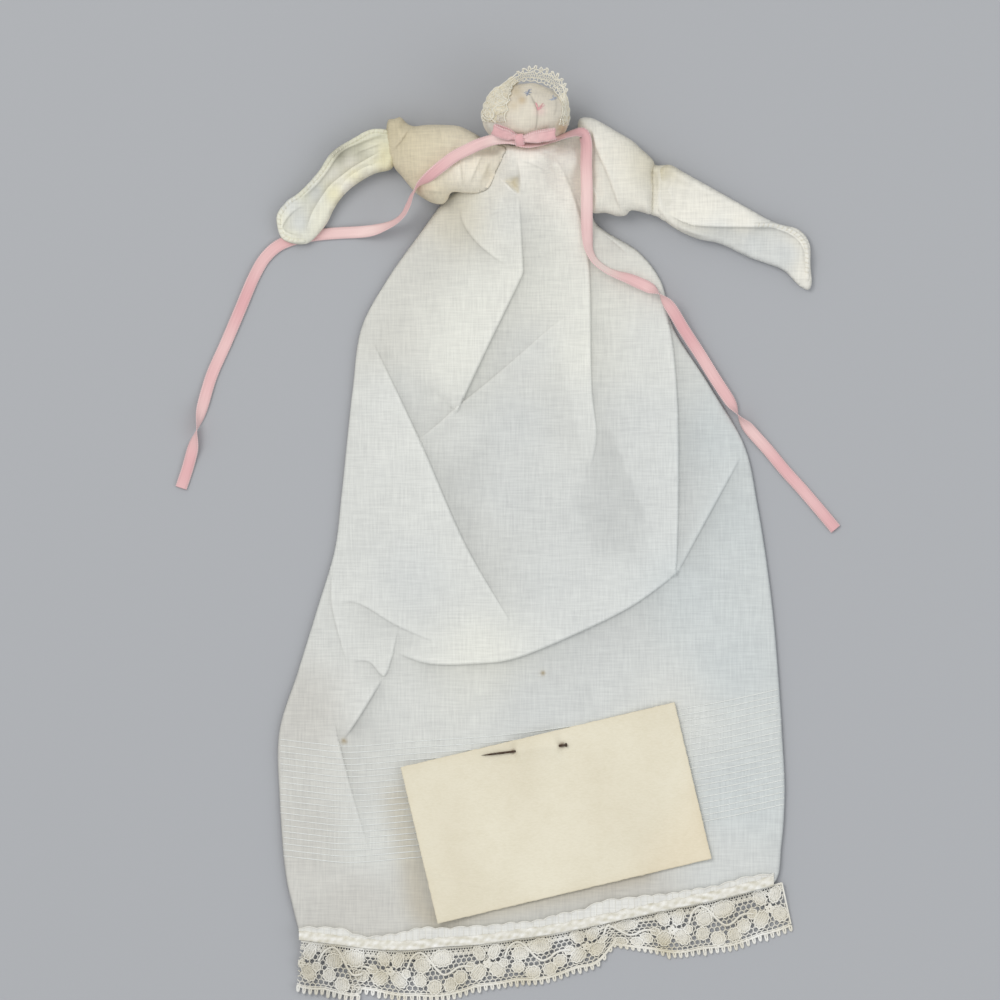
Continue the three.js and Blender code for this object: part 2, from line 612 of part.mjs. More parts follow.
function makeHeadCover() {
  const outer = ballProfile(HEAD_R, HEAD_HALF, HEAD_OPEN_R, 11);
  const inner = ballProfile(HEAD_R - HEAD_WALL, HEAD_HALF - HEAD_WALL, HEAD_OPEN_R - HEAD_WALL, 8);
  outer.at(-1).x = 0;
  inner.at(-1).x = 0;
  const geometry = turned([...outer.reverse(), ...inner], 2 * HEAD_GATHERS);
  const places = geometry.attributes.position;
  for (let i = 0; i < places.count; i += 1) {
    const [x, y, z] = [places.getX(i), places.getY(i), places.getZ(i)];
    const radius = Math.hypot(x, z);
    const outside = (radius / HEAD_R) ** 2 + (y / HEAD_HALF) ** 2 > 0.97;
    const low = clamp(-y / HEAD_HALF, 0, 1) ** 2;
    const gather = Math.cos(HEAD_GATHERS * Math.atan2(z, x)) < 0 ? HEAD_DIMPLE * low : 0;
    const share = outside && radius > 0 ? (radius - gather) / radius : 1;
    places.setXYZ(i, x * share, y, z * share);
  }
  return geometry;
}

function makeStuffing() {
  const shrink = HEAD_WALL + GAP;
  const profile = ballProfile(HEAD_R - shrink, HEAD_HALF - shrink, 0, 9);
  profile[0].x = 0;
  profile.at(-1).x = 0;
  return turned(profile, 18);
}

// A star of crossing stitches, or a V, laid over the front of the head
function onFace(outline) {
  const geometry = bare(new THREE.ExtrudeGeometry(outline, { depth: STITCH_T, bevelEnabled: false }));
  const places = geometry.attributes.position;
  for (let i = 0; i < places.count; i += 1) {
    const [x, y] = [NECK_X + places.getX(i), HEAD_Y + places.getY(i)];
    places.setXYZ(i, x, y, headFront(x, y, GAP) + places.getZ(i));
  }
  return geometry;
}

function makeEye([x, y]) {
  const corners = steps(2 * EYE_POINTS).slice(1).map((s, k) => {
    const reach = k % 2 ? EYE_R : 0.35 * EYE_R;
    return new THREE.Vector2(x + reach * Math.cos(2 * Math.PI * s), y + reach * Math.sin(2 * Math.PI * s));
  });
  return onFace(new THREE.Shape(corners));
}

function makeMouth() {
  const [x, y] = MOUTH_AT;
  const half = MOUTH_W / 2;
  const corners = [
    [-half, 0], [0, -MOUTH_DROP], [half, 0], [half - MOUTH_LINE, MOUTH_LINE / 2],
    [0, -MOUTH_DROP + 1.8 * MOUTH_LINE], [MOUTH_LINE - half, MOUTH_LINE / 2],
  ];
  return onFace(new THREE.Shape(corners.map(([dx, dy]) => new THREE.Vector2(x + dx, y + dy))));
}

// Cap: a strip from the edge round the face to its picot edge, kept clear of the head
function makeCap() {
  const inner = curve(CAP_INNER);
  const outer = curve(CAP_OUTER);
  const count = 2 * CAP_TEETH;
  const clear = (place) => {
    const reach = Math.hypot(
      place.x / (HEAD_R + GAP), place.y / (HEAD_HALF + GAP), place.z / (HEAD_R + GAP));
    return reach < 1 ? place.divideScalar(reach) : place;
  };
  const strip = (b, a) => {
    const tooth = Math.round(a * count) % 2 ? CAP_TOOTH : 0;
    const from = inner.getPoint(a);
    const to = outer.getPoint(a);
    const reach = 1 + (b === 1 ? tooth / from.distanceTo(to) : 0);
    return clear(from.lerp(to, b * reach));
  };
  const lift = (b, a) => {
    const [d, e] = [0.02, 0.05];
    const side = strip(Math.min(b + e, 0.99), a).sub(strip(Math.max(b - e, 0), a));
    const run = clear(inner.getPoint(Math.min(a + d, 1)).lerp(outer.getPoint(Math.min(a + d, 1)), b))
      .sub(clear(inner.getPoint(Math.max(a - d, 0)).lerp(outer.getPoint(Math.max(a - d, 0)), b)));
    const normal = point().crossVectors(run, side).normalize();
    return normal.dot(strip(b, a)) < 0 ? normal.negate() : normal;
  };
  const upper = (b, a) => strip(b, a).addScaledVector(lift(b, a), CAP_T);
  return sheetSolid(upper, strip, [0, 0.3, 0.65, 1], steps(count));
}

function makeNeckGather() {
  const bottom = SKIRT_LEFT[0][1] + GAP;
  const profile = [
    [0, bottom], [NECK_R, bottom], [NECK_R * 0.94, lerp(bottom, BAND_Y, 0.5)], [NECK_WAIST_R, BAND_Y],
    [NECK_WAIST_R, BAND_Y + THREAD_D], [NECK_R - 1, NECK_TOP_Y - 2 * GAP], [0, NECK_TOP_Y - 2 * GAP],
  ].map(([r, y]) => new THREE.Vector2(r, y));
  const geometry = turned(profile, 2 * NECK_FLUTES);
  const places = geometry.attributes.position;
  for (let i = 0; i < places.count; i += 1) {
    const [x, y, z] = [places.getX(i), places.getY(i), places.getZ(i)];
    const radius = Math.hypot(x, z);
    const full = clamp((radius - NECK_WAIST_R) / (NECK_R - NECK_WAIST_R), 0, 1);
    const flute = Math.cos(NECK_FLUTES * Math.atan2(z, x)) < 0 ? NECK_FLUTE_DEPTH * full : 0;
    const share = radius > 0 ? (radius - flute) / radius : 1;
    places.setXYZ(i, x * share, y, z * share);
  }
  return geometry;
}

const bandInner = Math.max(NECK_R, NECK_WAIST_R + GAP + THREAD_D) + GAP;
const bandOuter = bandInner + RIBBON_T;

function makeBand() {
  const [low, high] = [BAND_Y - RIBBON_W / 2, BAND_Y + RIBBON_W / 2];
  const profile = [
    [bandInner, low], [bandOuter, low], [bandOuter, high], [bandInner, high], [bandInner, low],
  ];
  return turned(profile.map(([r, y]) => new THREE.Vector2(r, y)), 24);
}

// Flat ribbon along a route, its width level where the route gives no roll in degrees
function ribbon(route) {
  const path = curve(route);
  const rolls = curve(route.map(([, , , roll = 0], k) => [k, roll]));
  const count = Math.max(3, Math.ceil(path.getLength() / RIBBON_STEP));
  const chamfer = 0.3 * RIBBON_T;
  const [w, t] = [RIBBON_W / 2, RIBBON_T / 2];
  const section = [
    [w, t - chamfer], [w - chamfer, t], [chamfer - w, t], [-w, t - chamfer],
    [-w, chamfer - t], [chamfer - w, -t], [w - chamfer, -t], [w, chamfer - t],
  ];
  const rings = steps(count).map((s) => {
    const place = path.getPointAt(s);
    const ahead = path.getTangentAt(s);
    const level = point().crossVectors(ahead, point(0, 0, 1)).normalize();
    const roll = THREE.MathUtils.degToRad(rolls.getPoint(path.getUtoTmapping(s)).y);
    const side = level.applyAxisAngle(ahead, roll);
    const up = point().crossVectors(side, ahead);
    return section.map(([a, b]) => place.clone().addScaledVector(side, a).addScaledVector(up, b));
  });
  return loft(rings);
}

// Flattened loop of ribbon, its doubled length along +X and the ribbon's width along +Y
function bowLoop(length) {
  const stadium = (inset) => {
    const r = BOW_LOOP_H / 2 - inset;
    const shape = inset ? new THREE.Path() : new THREE.Shape();
    shape.absarc(length - BOW_LOOP_H / 2, 0, r, -Math.PI / 2, Math.PI / 2);
    shape.absarc(BOW_LOOP_H / 2, 0, r, Math.PI / 2, 1.5 * Math.PI);
    shape.closePath();
    return shape;
  };
  const outline = stadium(0);
  outline.holes.push(stadium(RIBBON_T));
  const options = { depth: RIBBON_W, bevelEnabled: false, curveSegments: 6 };
  return bare(new THREE.ExtrudeGeometry(outline, options)).rotateX(Math.PI / 2).translate(0, RIBBON_W / 2, 0);
}

// The head grown by a clearance, for pieces that lie against it
function headEnvelope(grown) {
  const profile = ballProfile(HEAD_R + grown, HEAD_HALF + grown, 0, 14);
  profile[0].x = 0;
  profile.at(-1).x = 0;
  return toSolid(turned(profile, 32).translate(NECK_X, HEAD_Y, HEAD_Z));
}

function cutByHead(geometry) {
  return fromSolid(toSolid(geometry).subtract(headEnvelope(2 * GAP)));
}

// Rounded arm: a ring at each station across it, its upper side creased by a share of its height
function armLoft(stations, gathers) {
  const rings = stations.map(([x, low, high, height]) => steps(SLEEVE_SIDES).slice(1).map((s) => {
    const turn = 2 * Math.PI * s;
    const round = (value) => Math.sign(value) * Math.abs(value) ** (2 / SLEEVE_SQUARE);
    const crease = 1 - gathers * (0.5 + 0.5 * Math.cos(SLEEVE_CREASES * turn));
    const up = round(Math.sin(turn)) * (Math.sin(turn) > 0 ? crease : 1);
    const y = lerp(low, high, 0.5 + 0.5 * round(Math.cos(turn)));
    return point(x, y, ARM_Z0 + height * (0.5 + 0.5 * up));
  }));
  return loft(rings);
}

// A hand's end, hollowed so that it can turn round its knot
function cutByWrist(geometry, [x, y]) {
  const wrist = new THREE.CylinderGeometry(WRIST_R + GAP, WRIST_R + GAP, 4 * HEAD_R, 32);
  return fromSolid(toSolid(geometry).subtract(toSolid(wrist.rotateX(Math.PI / 2).translate(x, y, 0))));
}

const handFloor = (k, count) => lerp(ARM_Z0, HAND_TIP_Z0, smoothstep(k / (count - 1), 0.05, 0.6));

// Hand: a sheet from its outer to its inner edge, with the given section across it
function hand(stations, section) {
  const count = stations.length;
  const station = (k) => Math.round(k * (count - 1));
  const place = (across, k) => {
    const [x0, y0, x1, y1] = stations[station(k)];
    return point(lerp(x0, x1, across), lerp(y0, y1, across), handFloor(station(k), count));
  };
  const columns = section(0).length;
  const pick = (i, k) => section(station(k))[Math.round(i * (columns - 1))];
  const upper = (i, k) => {
    const [across, share] = pick(i, k);
    const height = Math.max(HAND_EDGE_T, share * stations[station(k)][4]);
    return place(across, k).add(point(0, 0, height));
  };
  const lower = (i, k) => place(pick(i, k)[0], k);
  return sheetSolid(upper, lower, steps(columns - 1), steps(count - 1));
}

// The left hand's upper layer ends at a hem that crosses it
function leftHandSection(k) {
  const hem = LEFT_HAND_HEM[k];
  return [
    [0, 0.5], [0.12 * hem, 0.85], [0.5 * hem, 1], [0.86 * hem, 0.92], [hem, 0.8],
    [hem + 0.02, 0.15], [lerp(hem, 1, 0.5), 0.15], [1, 0.15],
  ];
}

// The card's own frame: a across it, b up it, both from its middle
const cardZ = FRONT_Z1 + GAP;
const pinB = CARD_H / 2 - PIN_FROM_TOP;
const pinZ = cardZ + CARD_T + GAP + PIN_D / 2;
const archRise = CARD_T + PIN_D + 2 * GAP;

function archHeight(a, b) {
  const middle = PIN_HEAD_A - PIN_UNDER / 2;
  const half = PIN_UNDER / 2;
  const over = 1 - smoothstep(Math.abs(a - middle), half - PIN_SLOT_L / 2, half + PIN_SLOT_L / 2);
  const near = smoothstep(b, pinB - ARCH_FADE, pinB - PIN_D);
  return archRise * over * near;
}

function makeCard() {
  const [edge, half] = [CARD_W / 2, CARD_H / 2];
  const [pinLeft, pinRight] = [PIN_HEAD_A - PIN_UNDER, PIN_HEAD_A];
  const slot = PIN_SLOT_L / 2;
  const as = [
    -edge, pinLeft - 2 * slot, pinLeft - slot, pinLeft - slot / 3, pinLeft + slot / 3, pinLeft + slot,
    pinRight - slot, pinRight - slot / 3, pinRight + slot / 3, pinRight + slot, pinRight + 2 * slot, edge,
  ];
  const bs = [-half, pinB - ARCH_FADE, pinB - 0.6 * ARCH_FADE, pinB - 0.3 * ARCH_FADE, pinB - PIN_D, half];
  const lower = (a, b) => point(a, b, archHeight(a, b));
  const upper = (a, b) => point(a, b, archHeight(a, b) + CARD_T);
  let card = toSolid(sheetSolid(upper, lower, as, bs));
  for (const a of [pinLeft, pinRight]) {
    const cut = new THREE.BoxGeometry(PIN_SLOT_L + PIN_D, PIN_HEAD_D + 2 * GAP, 4 * archRise);
    const up = pinB + (PIN_HEAD_A - a) * Math.tan(-PIN_TILT);
    card = card.subtract(toSolid(cut.rotateZ(PIN_TILT).translate(a, up, archRise)));
  }
  return fromSolid(card);
}

// Pin along +Y from its head to its point
function makePin() {
  const profile = [
    [0, -PIN_HEAD_T], [PIN_HEAD_D / 3, -PIN_HEAD_T], [PIN_HEAD_D / 2, -PIN_HEAD_T / 2], [PIN_HEAD_D / 3, 0],
    [PIN_D / 2, 0], [PIN_D / 2, PIN_L - PIN_TIP_L], [PIN_D / 4, PIN_L - PIN_TIP_L / 3], [0, PIN_L],
  ];
  return turned(profile.map(([r, y]) => new THREE.Vector2(r, y)), 10);
}

const doll = new THREE.Group();

// Skirt, its folded back and its edging
doll.add(
  named('skirt_front', makeSkirtFront(), LAWN),
  named('skirt_back_right', makeBackPanel(-1), LAWN),
  named('skirt_back_left', makeBackPanel(1), LAWN),
  named('lace_hem', makeLace(), COTTON_LACE),
  named('lace_heading', makeHeading(), COTTON_LACE),
);

// Neck and bow
const neck = new THREE.Group();
neck.position.set(NECK_X, 0, HEAD_Z);
const thread = named(
  'neck_thread',
  bare(new THREE.TorusGeometry(NECK_WAIST_R + GAP + THREAD_D / 2, THREAD_D / 2, 6, 24)),
  WHITE_THREAD,
);
thread.rotation.x = Math.PI / 2;
thread.position.y = BAND_Y + THREAD_D / 2;
neck.add(
  named('neck_gather', makeNeckGather(), LAWN_AGED),
  named('neck_ribbon', makeBand(), PINK_SATIN),
  thread,
);
doll.add(neck);

// The bow's places are given with their height above the front of the head
const bowRest = point(0, 0, headFront(NECK_X, BOW_REST_Y, 0));
const knotPlace = point(...BOW_KNOT_AT).add(bowRest);
const knotBall = new THREE.SphereGeometry(1, 12, 8).scale(...BOW_KNOT).translate(...knotPlace);

function placedLoop(name, length, { at, turn, lean }) {
  const loop = named(name, bowLoop(length), PINK_SATIN);
  loop.position.set(...at).add(bowRest);
  loop.rotation.set(BOW_TILT, lean, turn, 'XZY');
  return loop;
}
doll.add(
  named('bow_knot', cutByHead(bare(knotBall)), PINK_SATIN),
  placedLoop('bow_left_loop', BOW_LOOP_L, BOW_LEFT),
  placedLoop('bow_right_loop', BOW_LOOP_L * BOW_SMALL, BOW_RIGHT),
  named('ribbon_right_shoulder', ribbon(RIGHT_SHOULDER_ROUTE), PINK_SATIN),
  named('ribbon_left_shoulder', ribbon(LEFT_SHOULDER_ROUTE), PINK_SATIN),
  named('ribbon_right_tail', ribbon(RIGHT_TAIL_ROUTE), PINK_SATIN),
  named('ribbon_left_tail', ribbon(LEFT_TAIL_ROUTE), PINK_SATIN),
);

// Head
const head = new THREE.Group();
head.position.set(NECK_X, HEAD_Y, HEAD_Z);
head.add(
  named('head_cover', makeHeadCover(), FACE_CLOTH),
  named('head_stuffing', makeStuffing(), COTTON_WOOL),
  named('lace_cap', makeCap(), COTTON_LACE),
);
doll.add(
  head,
  named('right_eye', makeEye(RIGHT_EYE), BLUE_THREAD),
  named('left_eye', makeEye(LEFT_EYE), BLUE_THREAD),
  named('mouth', makeMouth(), PINK_THREAD),
);

// Arms
const knotStations = (stations, gap) => stations.map(([x, ...rest]) => [x + gap, ...rest]);
doll.add(
  named('right_sleeve', cutByHead(armLoft(RIGHT_SLEEVE, PUFF_CREASE)), LAWN_AGED),
  named('right_knot', armLoft(knotStations(RIGHT_KNOT, -GAP), KNOT_CREASE), LAWN_AGED),
  named('right_hand', cutByWrist(hand(RIGHT_HAND, () => RIGHT_HAND_PROFILE), RIGHT_WRIST), LAWN_YELLOWED),
  named('left_sleeve', cutByHead(armLoft(LEFT_SLEEVE, FLAT_CREASE)), LAWN_AGED),
  named('left_knot', armLoft(knotStations(LEFT_KNOT, GAP), KNOT_CREASE), LAWN_AGED),
  named('left_hand', cutByWrist(hand(LEFT_HAND, leftHandSection), LEFT_WRIST), LAWN_AGED),
);

// Card and pin
const tag = new THREE.Group();
tag.position.set(...CARD_AT, cardZ);
tag.rotation.z = CARD_TURN;
const pin = named('straight_pin', makePin(), OLD_STEEL);
pin.position.set(PIN_HEAD_A, pinB, pinZ - cardZ);
pin.rotation.z = Math.PI / 2 + PIN_TILT;
tag.add(named('card', makeCard(), AGED_CARD), pin);
doll.add(tag);

export default doll;
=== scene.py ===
"""Handkerchief doll: cloth, lace, ribbon, stitches, card and pin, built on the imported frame.

Points are worked out in millimetres in the frame of the CAD model and turned into metres when a
mesh is made. The doll lies on its back, head towards +Y, its right arm towards -X.
"""

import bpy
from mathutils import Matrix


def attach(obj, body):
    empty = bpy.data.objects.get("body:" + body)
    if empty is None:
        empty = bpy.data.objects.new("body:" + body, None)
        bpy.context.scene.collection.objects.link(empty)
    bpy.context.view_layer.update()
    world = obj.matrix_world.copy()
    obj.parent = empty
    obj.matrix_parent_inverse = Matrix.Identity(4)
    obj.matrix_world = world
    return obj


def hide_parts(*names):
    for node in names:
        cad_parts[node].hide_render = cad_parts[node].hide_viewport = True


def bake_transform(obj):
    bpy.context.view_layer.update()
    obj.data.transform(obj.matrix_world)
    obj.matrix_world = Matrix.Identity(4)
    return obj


bl_info = {
    "name": "Handkerchief doll",
    "version": (1, 0, 0),
    "blender": (4, 5, 0),
    "location": "View3D > Sidebar > Doll",
    "description": "Builds the cloth, lace, ribbon and card of a handkerchief doll on its frame",
    "category": "Object",
}

import math

import bpy
import numpy as np
from bpy.props import FloatProperty, FloatVectorProperty, IntProperty, PointerProperty
from mathutils import Vector
from mathutils.geometry import delaunay_2d_cdt
from mathutils.kdtree import KDTree

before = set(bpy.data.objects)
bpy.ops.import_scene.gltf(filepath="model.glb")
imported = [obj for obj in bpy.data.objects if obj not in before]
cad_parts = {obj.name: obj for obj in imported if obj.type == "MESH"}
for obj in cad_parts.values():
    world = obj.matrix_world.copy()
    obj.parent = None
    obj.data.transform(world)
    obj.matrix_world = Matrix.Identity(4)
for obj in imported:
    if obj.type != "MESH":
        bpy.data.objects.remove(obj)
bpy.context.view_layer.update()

MM = 0.001
UP = np.array((0.0, 0.0, 1.0))

# Floor in metres, a little below the doll, and the lights: place, size and colour
FLOOR_HALF = 2.5
FLOOR_Z = -0.0002
LIGHTS = {
    "key": ((-0.95, 0.85, 1.90), 1.1, (1.0, 0.985, 0.96)),
    "fill": ((0.85, -0.35, 0.75), 0.8, (0.95, 0.975, 1.0)),
}

# The photograph's view: straight down on the middle of the image
VIEW_MIDDLE = (-13.7, 10.6)
VIEW_WIDTH = 315.7
VIEW_DISTANCE = 12000.0
VIEW_SENSOR = 36.0

# Cloth layers
SKIRT_TOP = 2.0
SKIRT_EDGE_Z = 0.9
CLOTH_T = 0.3
# Waves in a random ripple
WAVES = 7

# Finishes: weave, depth of its shade, strength and distance of its bumps, roughness and sheen
LAWN = ("plain_weave", 1.0, 0.5, 0.07, 0.9, 0.05)
THREAD = ("thread_twist", 1.0, 0.5, 0.05, 0.85, 0.05)
FINISHES = {
    "lawn": LAWN, "lawn_aged": LAWN, "lawn_yellowed": LAWN, "face_cloth": LAWN,
    "cotton_lace": THREAD, "white_thread": THREAD, "blue_thread": THREAD, "pink_thread": THREAD,
    "pink_satin": ("satin_rib", 1.0, 0.4, 0.03, 0.38, 0.1),
    "aged_card": ("paper_fibre", 1.0, 0.5, 0.05, 0.88, 0.0),
}
# Fine and soft fibres of two weaves: scales and details, share of the soft ones, and their shade
FIBRES = {
    "thread_twist": ((2200, 2200, 2200), 3.0, (300, 300, 300), 2.0, 0.6, 0.5, (0.86, 0.855, 0.84)),
    "paper_fibre": ((900, 2400, 900), 4.0, (160, 160, 160), 4.0, 0.7, 0.55, (0.93, 0.92, 0.89)),
}

# Skirt's edge, anticlockwise from the right shoulder
SKIRT_OUTLINE = (
    (-29.5, 107), (-40, 93.5), (-49.3, 80.2), (-57.4, 65.1), (-60.2, 46), (-62, 29.5), (-63.8, 12),
    (-65.9, -5), (-71.5, -24), (-77.5, -43.5), (-83.4, -62.5), (-83.3, -83), (-81.3, -108),
    (-79, -118.5), (-77.3, -125), (-75.4, -129.6), (-60, -130.4), (-42.8, -130.4), (-26, -129.2),
    (-10.3, -127.6), (6, -125.2), (22.4, -121.4), (38, -118), (55, -114.6), (72.6, -110.6), (75.2, -98),
    (76.2, -82), (75.3, -62), (74.2, -45), (72.6, -26), (70.4, -8.4), (67.6, 9), (63.6, 27.5),
    (52.4, 47), (40.6, 66), (37.2, 79.5), (30.5, 88.6), (16, 99), (17, 108), (16.4, 120), (13.4, 128.6),
    (8, 126), (2.4, 123.2), (-1.6, 122.6), (-5.6, 122.4), (-9.6, 122.6), (-13, 123), (-17.6, 122.8),
    (-22, 118), (-24, 111),
)

# Folds of the skirt: x, y, width of the panel behind the edge and height of the edge; a panel lies
# to the left of the line (side 1) or to its right (side -1)
SKIRT_FOLDS = (
    (-1, ((-7.8, 105.9, 5, 0.7), (-7.3, 97.5, 10, 1.3), (-6.6, 85, 15, 2), (-6.5, 82.6, 15, 2),
          (-7.4, 80.4, 15.5, 2), (-17, 60.5, 19, 2.4), (-26, 41.4, 18, 2.2), (-27.6, 38.2, 16, 1.2),
          (-29.4, 37.6, 10, 0.4))),
    (-1, ((-40.2, 29, 8, 0.5), (-33.6, 34.2, 9, 0.9), (-26.7, 40.4, 9, 1), (-19.4, 46.2, 9, 0.9),
          (-8.9, 55.1, 8, 0.7), (3.7, 66, 6, 0.4), (10, 70.2, 4, 0.1))),
    (-1, ((-54.1, 60.8, 3.5, 0.7), (-39.2, 29.5, 14, 2.5), (-24.6, -3.8, 17, 2.7),
          (-9.9, -29.1, 9, 0.5))),
    (-1, ((1.5, 121, 5, 0.3), (5.8, 114.8, 6, 0.7), (9.9, 105.3, 8, 1.1), (12.6, 96, 10, 1.6),
          (14.2, 86.3, 11, 1.9), (15.2, 45.1, 11, 1.7), (16.6, 30.5, 8.5, 1.1), (14.6, 19.8, 4, 0.2))),
    (-1, ((37.1, 75, 8, 0.7), (40, 64.1, 11, 1.6), (42.1, 42.7, 12, 2.2), (42.5, 12.2, 11.5, 2.2),
          (41.8, -12, 6.5, 1.2), (41.6, -15, 5, 0.6))),
    (1, ((40.6, -15, 13, 0.8), (42.6, -11.6, 13, 1), (53, 7.5, 9, 1.7), (62.6, 25, 8, 0.8))),
    (-1, ((44.6, -10.4, 8, 0.6), (41.6, -12.8, 11, 1.2), (28.5, -22.4, 14, 2), (10.4, -31.5, 14.5, 2.6),
          (-9.9, -39.6, 13.5, 2.7), (-19.5, -40.9, 13, 2.4), (-36.5, -40.9, 11, 1.8),
          (-47, -37.4, 5, 0.5))),
    (1, ((-66, -21.6, 9, 0.3), (-58.9, -21.8, 10, 0.9), (-46, -29.1, 10, 1), (-32, -35, 6, 0.2))),
    (-1, ((-50.5, -45.2, 6, 1.4), (-58.9, -58.9, 11, 2.3), (-63.7, -65.8, 7, 0.6))),
    (-1, ((-66.4, -58, 10, 0.5), (-64, -68.5, 10, 1.4), (-60.5, -82, 9, 0.9), (-54.8, -101.8, 7, 0.2))),
    (1, ((-66.3, -9.9, 4, 0.4), (-66.8, -21.6, 5, 1), (-61.7, -42.1, 5, 0.4))),
    (-1, ((-45.9, -29.2, 5, 0.4), (-48.2, -39.8, 6, 1.3), (-50.5, -44.9, 6, 1.5), (-55, -40.4, 5, 1),
          (-61.7, -40.4, 4, 0.3))),
    (1, ((15.6, 97.1, 4, 0.4), (21.6, 92.7, 5, 1), (27.3, 87.3, 5, 0.4))),
    (-1, ((-14.7, 113.2, 4, 0.7), (-11.2, 109.7, 5, 1.7), (-7.4, 106.2, 5, 1))),
    (1, ((-9, 118.5, 3, 0.3), (-2.7, 116.3, 4, 0.7), (3.6, 113.2, 4, 0.4))),
    (-1, ((-13.9, 106.6, 3, 0.4), (-12.8, 104.6, 4, 0.7), (-12.2, 102.6, 3, 0.2))),
    (1, ((-8.6, 119, 3, 0.2), (-7.3, 113, 5, 1.2), (-7.3, 106.6, 4, 0.8))),
    (1, ((-26.6, 104, 5, 0.3), (-25, 97.6, 8, 1.1), (-20.8, 91.8, 9, 1.3), (-15, 87, 8, 0.9),
         (-10.9, 84.4, 6, 0.2))),
    (1, ((-18.8, 99.6, 3, 0.2), (-15, 101.4, 3, 0.5), (-11.7, 102.8, 3, 0.2))),
)
# Folds: step along an edge, rows of points beside it, reach of the drop behind it, share of the rise
FOLD_STEP = 0.8
FOLD_ROWS = (2.2, 1.3, 0.75, 0.3, 0.05, -0.25, -0.8)
FOLD_DROP = 0.3
FOLD_LIFT = 0.65
# Skirt's edge: rows of points inside it and the step along it
SKIRT_RIM = (0.35, 0.8, 1.4, 2.2, 3.1)
SKIRT_STEP = 1.1
# Panels behind the skirt: where they end, and their height
BACK_SPAN = (-126, 104)
BACK_Z = 0.56

# Chest: the neck that the cloth is gathered to, and the line of each shoulder
NECK = (-5.6, 118)
NECK_Z = 14.1
CHEST_TOP = 21.4
CHEST_FALL = 46.0
SHOULDER_LEFT_END = (15, 8.6)
SHOULDER_RIGHT_END = (-24, 10.5)
SHOULDER_HALF = 8.5
POCKET = ((-13.2, 111.6), (-7.3, 106.2), (-7.2, 113.4))

# How softly the tones blend, how fast each falls off, and their gain
TINT_SOFT = 60.0
TINT_FALL = 1.6
TINT_GAIN = 1.075
# Named tones in sRGB, and the places where each of them counts most; most are the cloth's own tones, and
# those marked below are painted light or painted shade
CLOTH_TONES = {
    "sunlit": (255, 249, 237), "bright": (240, 236, 225), "white": (228, 228, 219),
    "pale": (219, 220, 215), "grey": (213, 215, 212), "warm_grey": (213, 212, 204),
    "cool_grey": (207, 212, 211), "dun": (206, 204, 197), "sleeve_shadow": (210, 205, 188),
    "cream": (235, 228, 211), "straw": (226, 213, 184), "sand": (216, 205, 177),
    "tan": (196, 184, 152), "notch_shade": (206, 198, 172), "linen": (236, 233, 222),
    "butter": (228, 222, 186), "yellowed": (222, 221, 199), "lemon": (232, 230, 212),
    "hollow_shade": (150, 148, 130), "half_hollow_shade": (186, 184, 164),
}
SKIRT_TINTS = {
    # Painted light: the lightest tones beside the left ribbon lift the shade that the ribbon casts on
    # the chest
    "sunlit": ((8, 117), (7, 122), (10, 110)),
    "bright": ((11, 103), (-1, 112), (0, 105)),
    "white": ((2, 96), (-22, 76), (-1, 80), (20, 74), (-28, 58), (12, 58), (-20, -38)),
    "pale": ((-8, 100), (-4, 56), (34, 62), (-48, 42), (12, 34), (-46, 14), (-20, -11), (-21, 1),
             (-60, -28), (-50, -54), (40, -56), (-54, -96)),
    "grey": ((-8, 34), (30, 34), (-10, 10), (18, 6), (38, 8), (-40, -14), (2, -14), (20, -36),
             (0, -56), (60, -106)),
    "warm_grey": ((24, 97), (-38, 84), (-48, 62)),
    "cool_grey": ((56, 30), (60, 4), (48, -18), (60, -40), (64, -84)),
    "dun": ((-76, -56), (-74, -96), (-60, -118), (30, -114)),
    # Painted shadow: the warm dark tone just under the right sleeve's edge
    "sleeve_shadow": ((-27, 99),),
}
RIGHT_SLEEVE_TINTS = {
    "cream": ((-14, 115), (-20, 114), (-18, 120)),
    # Painted light: the lightest tone, on the middle of the puff
    "sunlit": ((-26, 115),),
    "straw": ((-39, 115),),
    "sand": ((-30, 124), (-36, 106), (-43, 121), (-48, 120), (-36, 120)),
    # Painted shade: the dark brownish tone in the dip of the wrap's ear
    "tan": ((-46, 127.5),),
}
RIGHT_HAND_TINTS = {
    "yellowed": ((-51, 126.5), (-60, 124), (-68, 116.6), (-76, 108)),
    "lemon": ((-83, 99), (-79, 92.6), (-54, 120.2), (-70, 101), (-55, 114.2), (-71.6, 96.4)),
    "butter": ((-50, 120), (-60, 113.6), (-66, 107.6), (-50, 116.6)),
    "linen": ((-66.4, 113.8), (-62, 109.4)),
    "bright": ((-61, 116.6),),
    # Painted shade: the grey inside the trough
    "grey": ((-72, 107.6), (-77, 98)),
    "pale": ((-79.6, 103.4),),
    # Painted shade: the darkest greenish tones in the trough's hollow
    "hollow_shade": ((-64, 118.9),),
    "half_hollow_shade": ((-59, 121.2),),
}
LEFT_ARM_TINTS = {
    "linen": ((14, 126), (22, 112), (30, 106), (38, 106), (50, 105), (62, 99), (82, 94), (83.4, 84)),
    # Painted shade: the dark tone in the notch between the left sleeve and its knot
    "notch_shade": ((34.4, 114),),
    "pale": ((58, 93.5),),
    "grey": ((66, 91), (76, 88)),
}

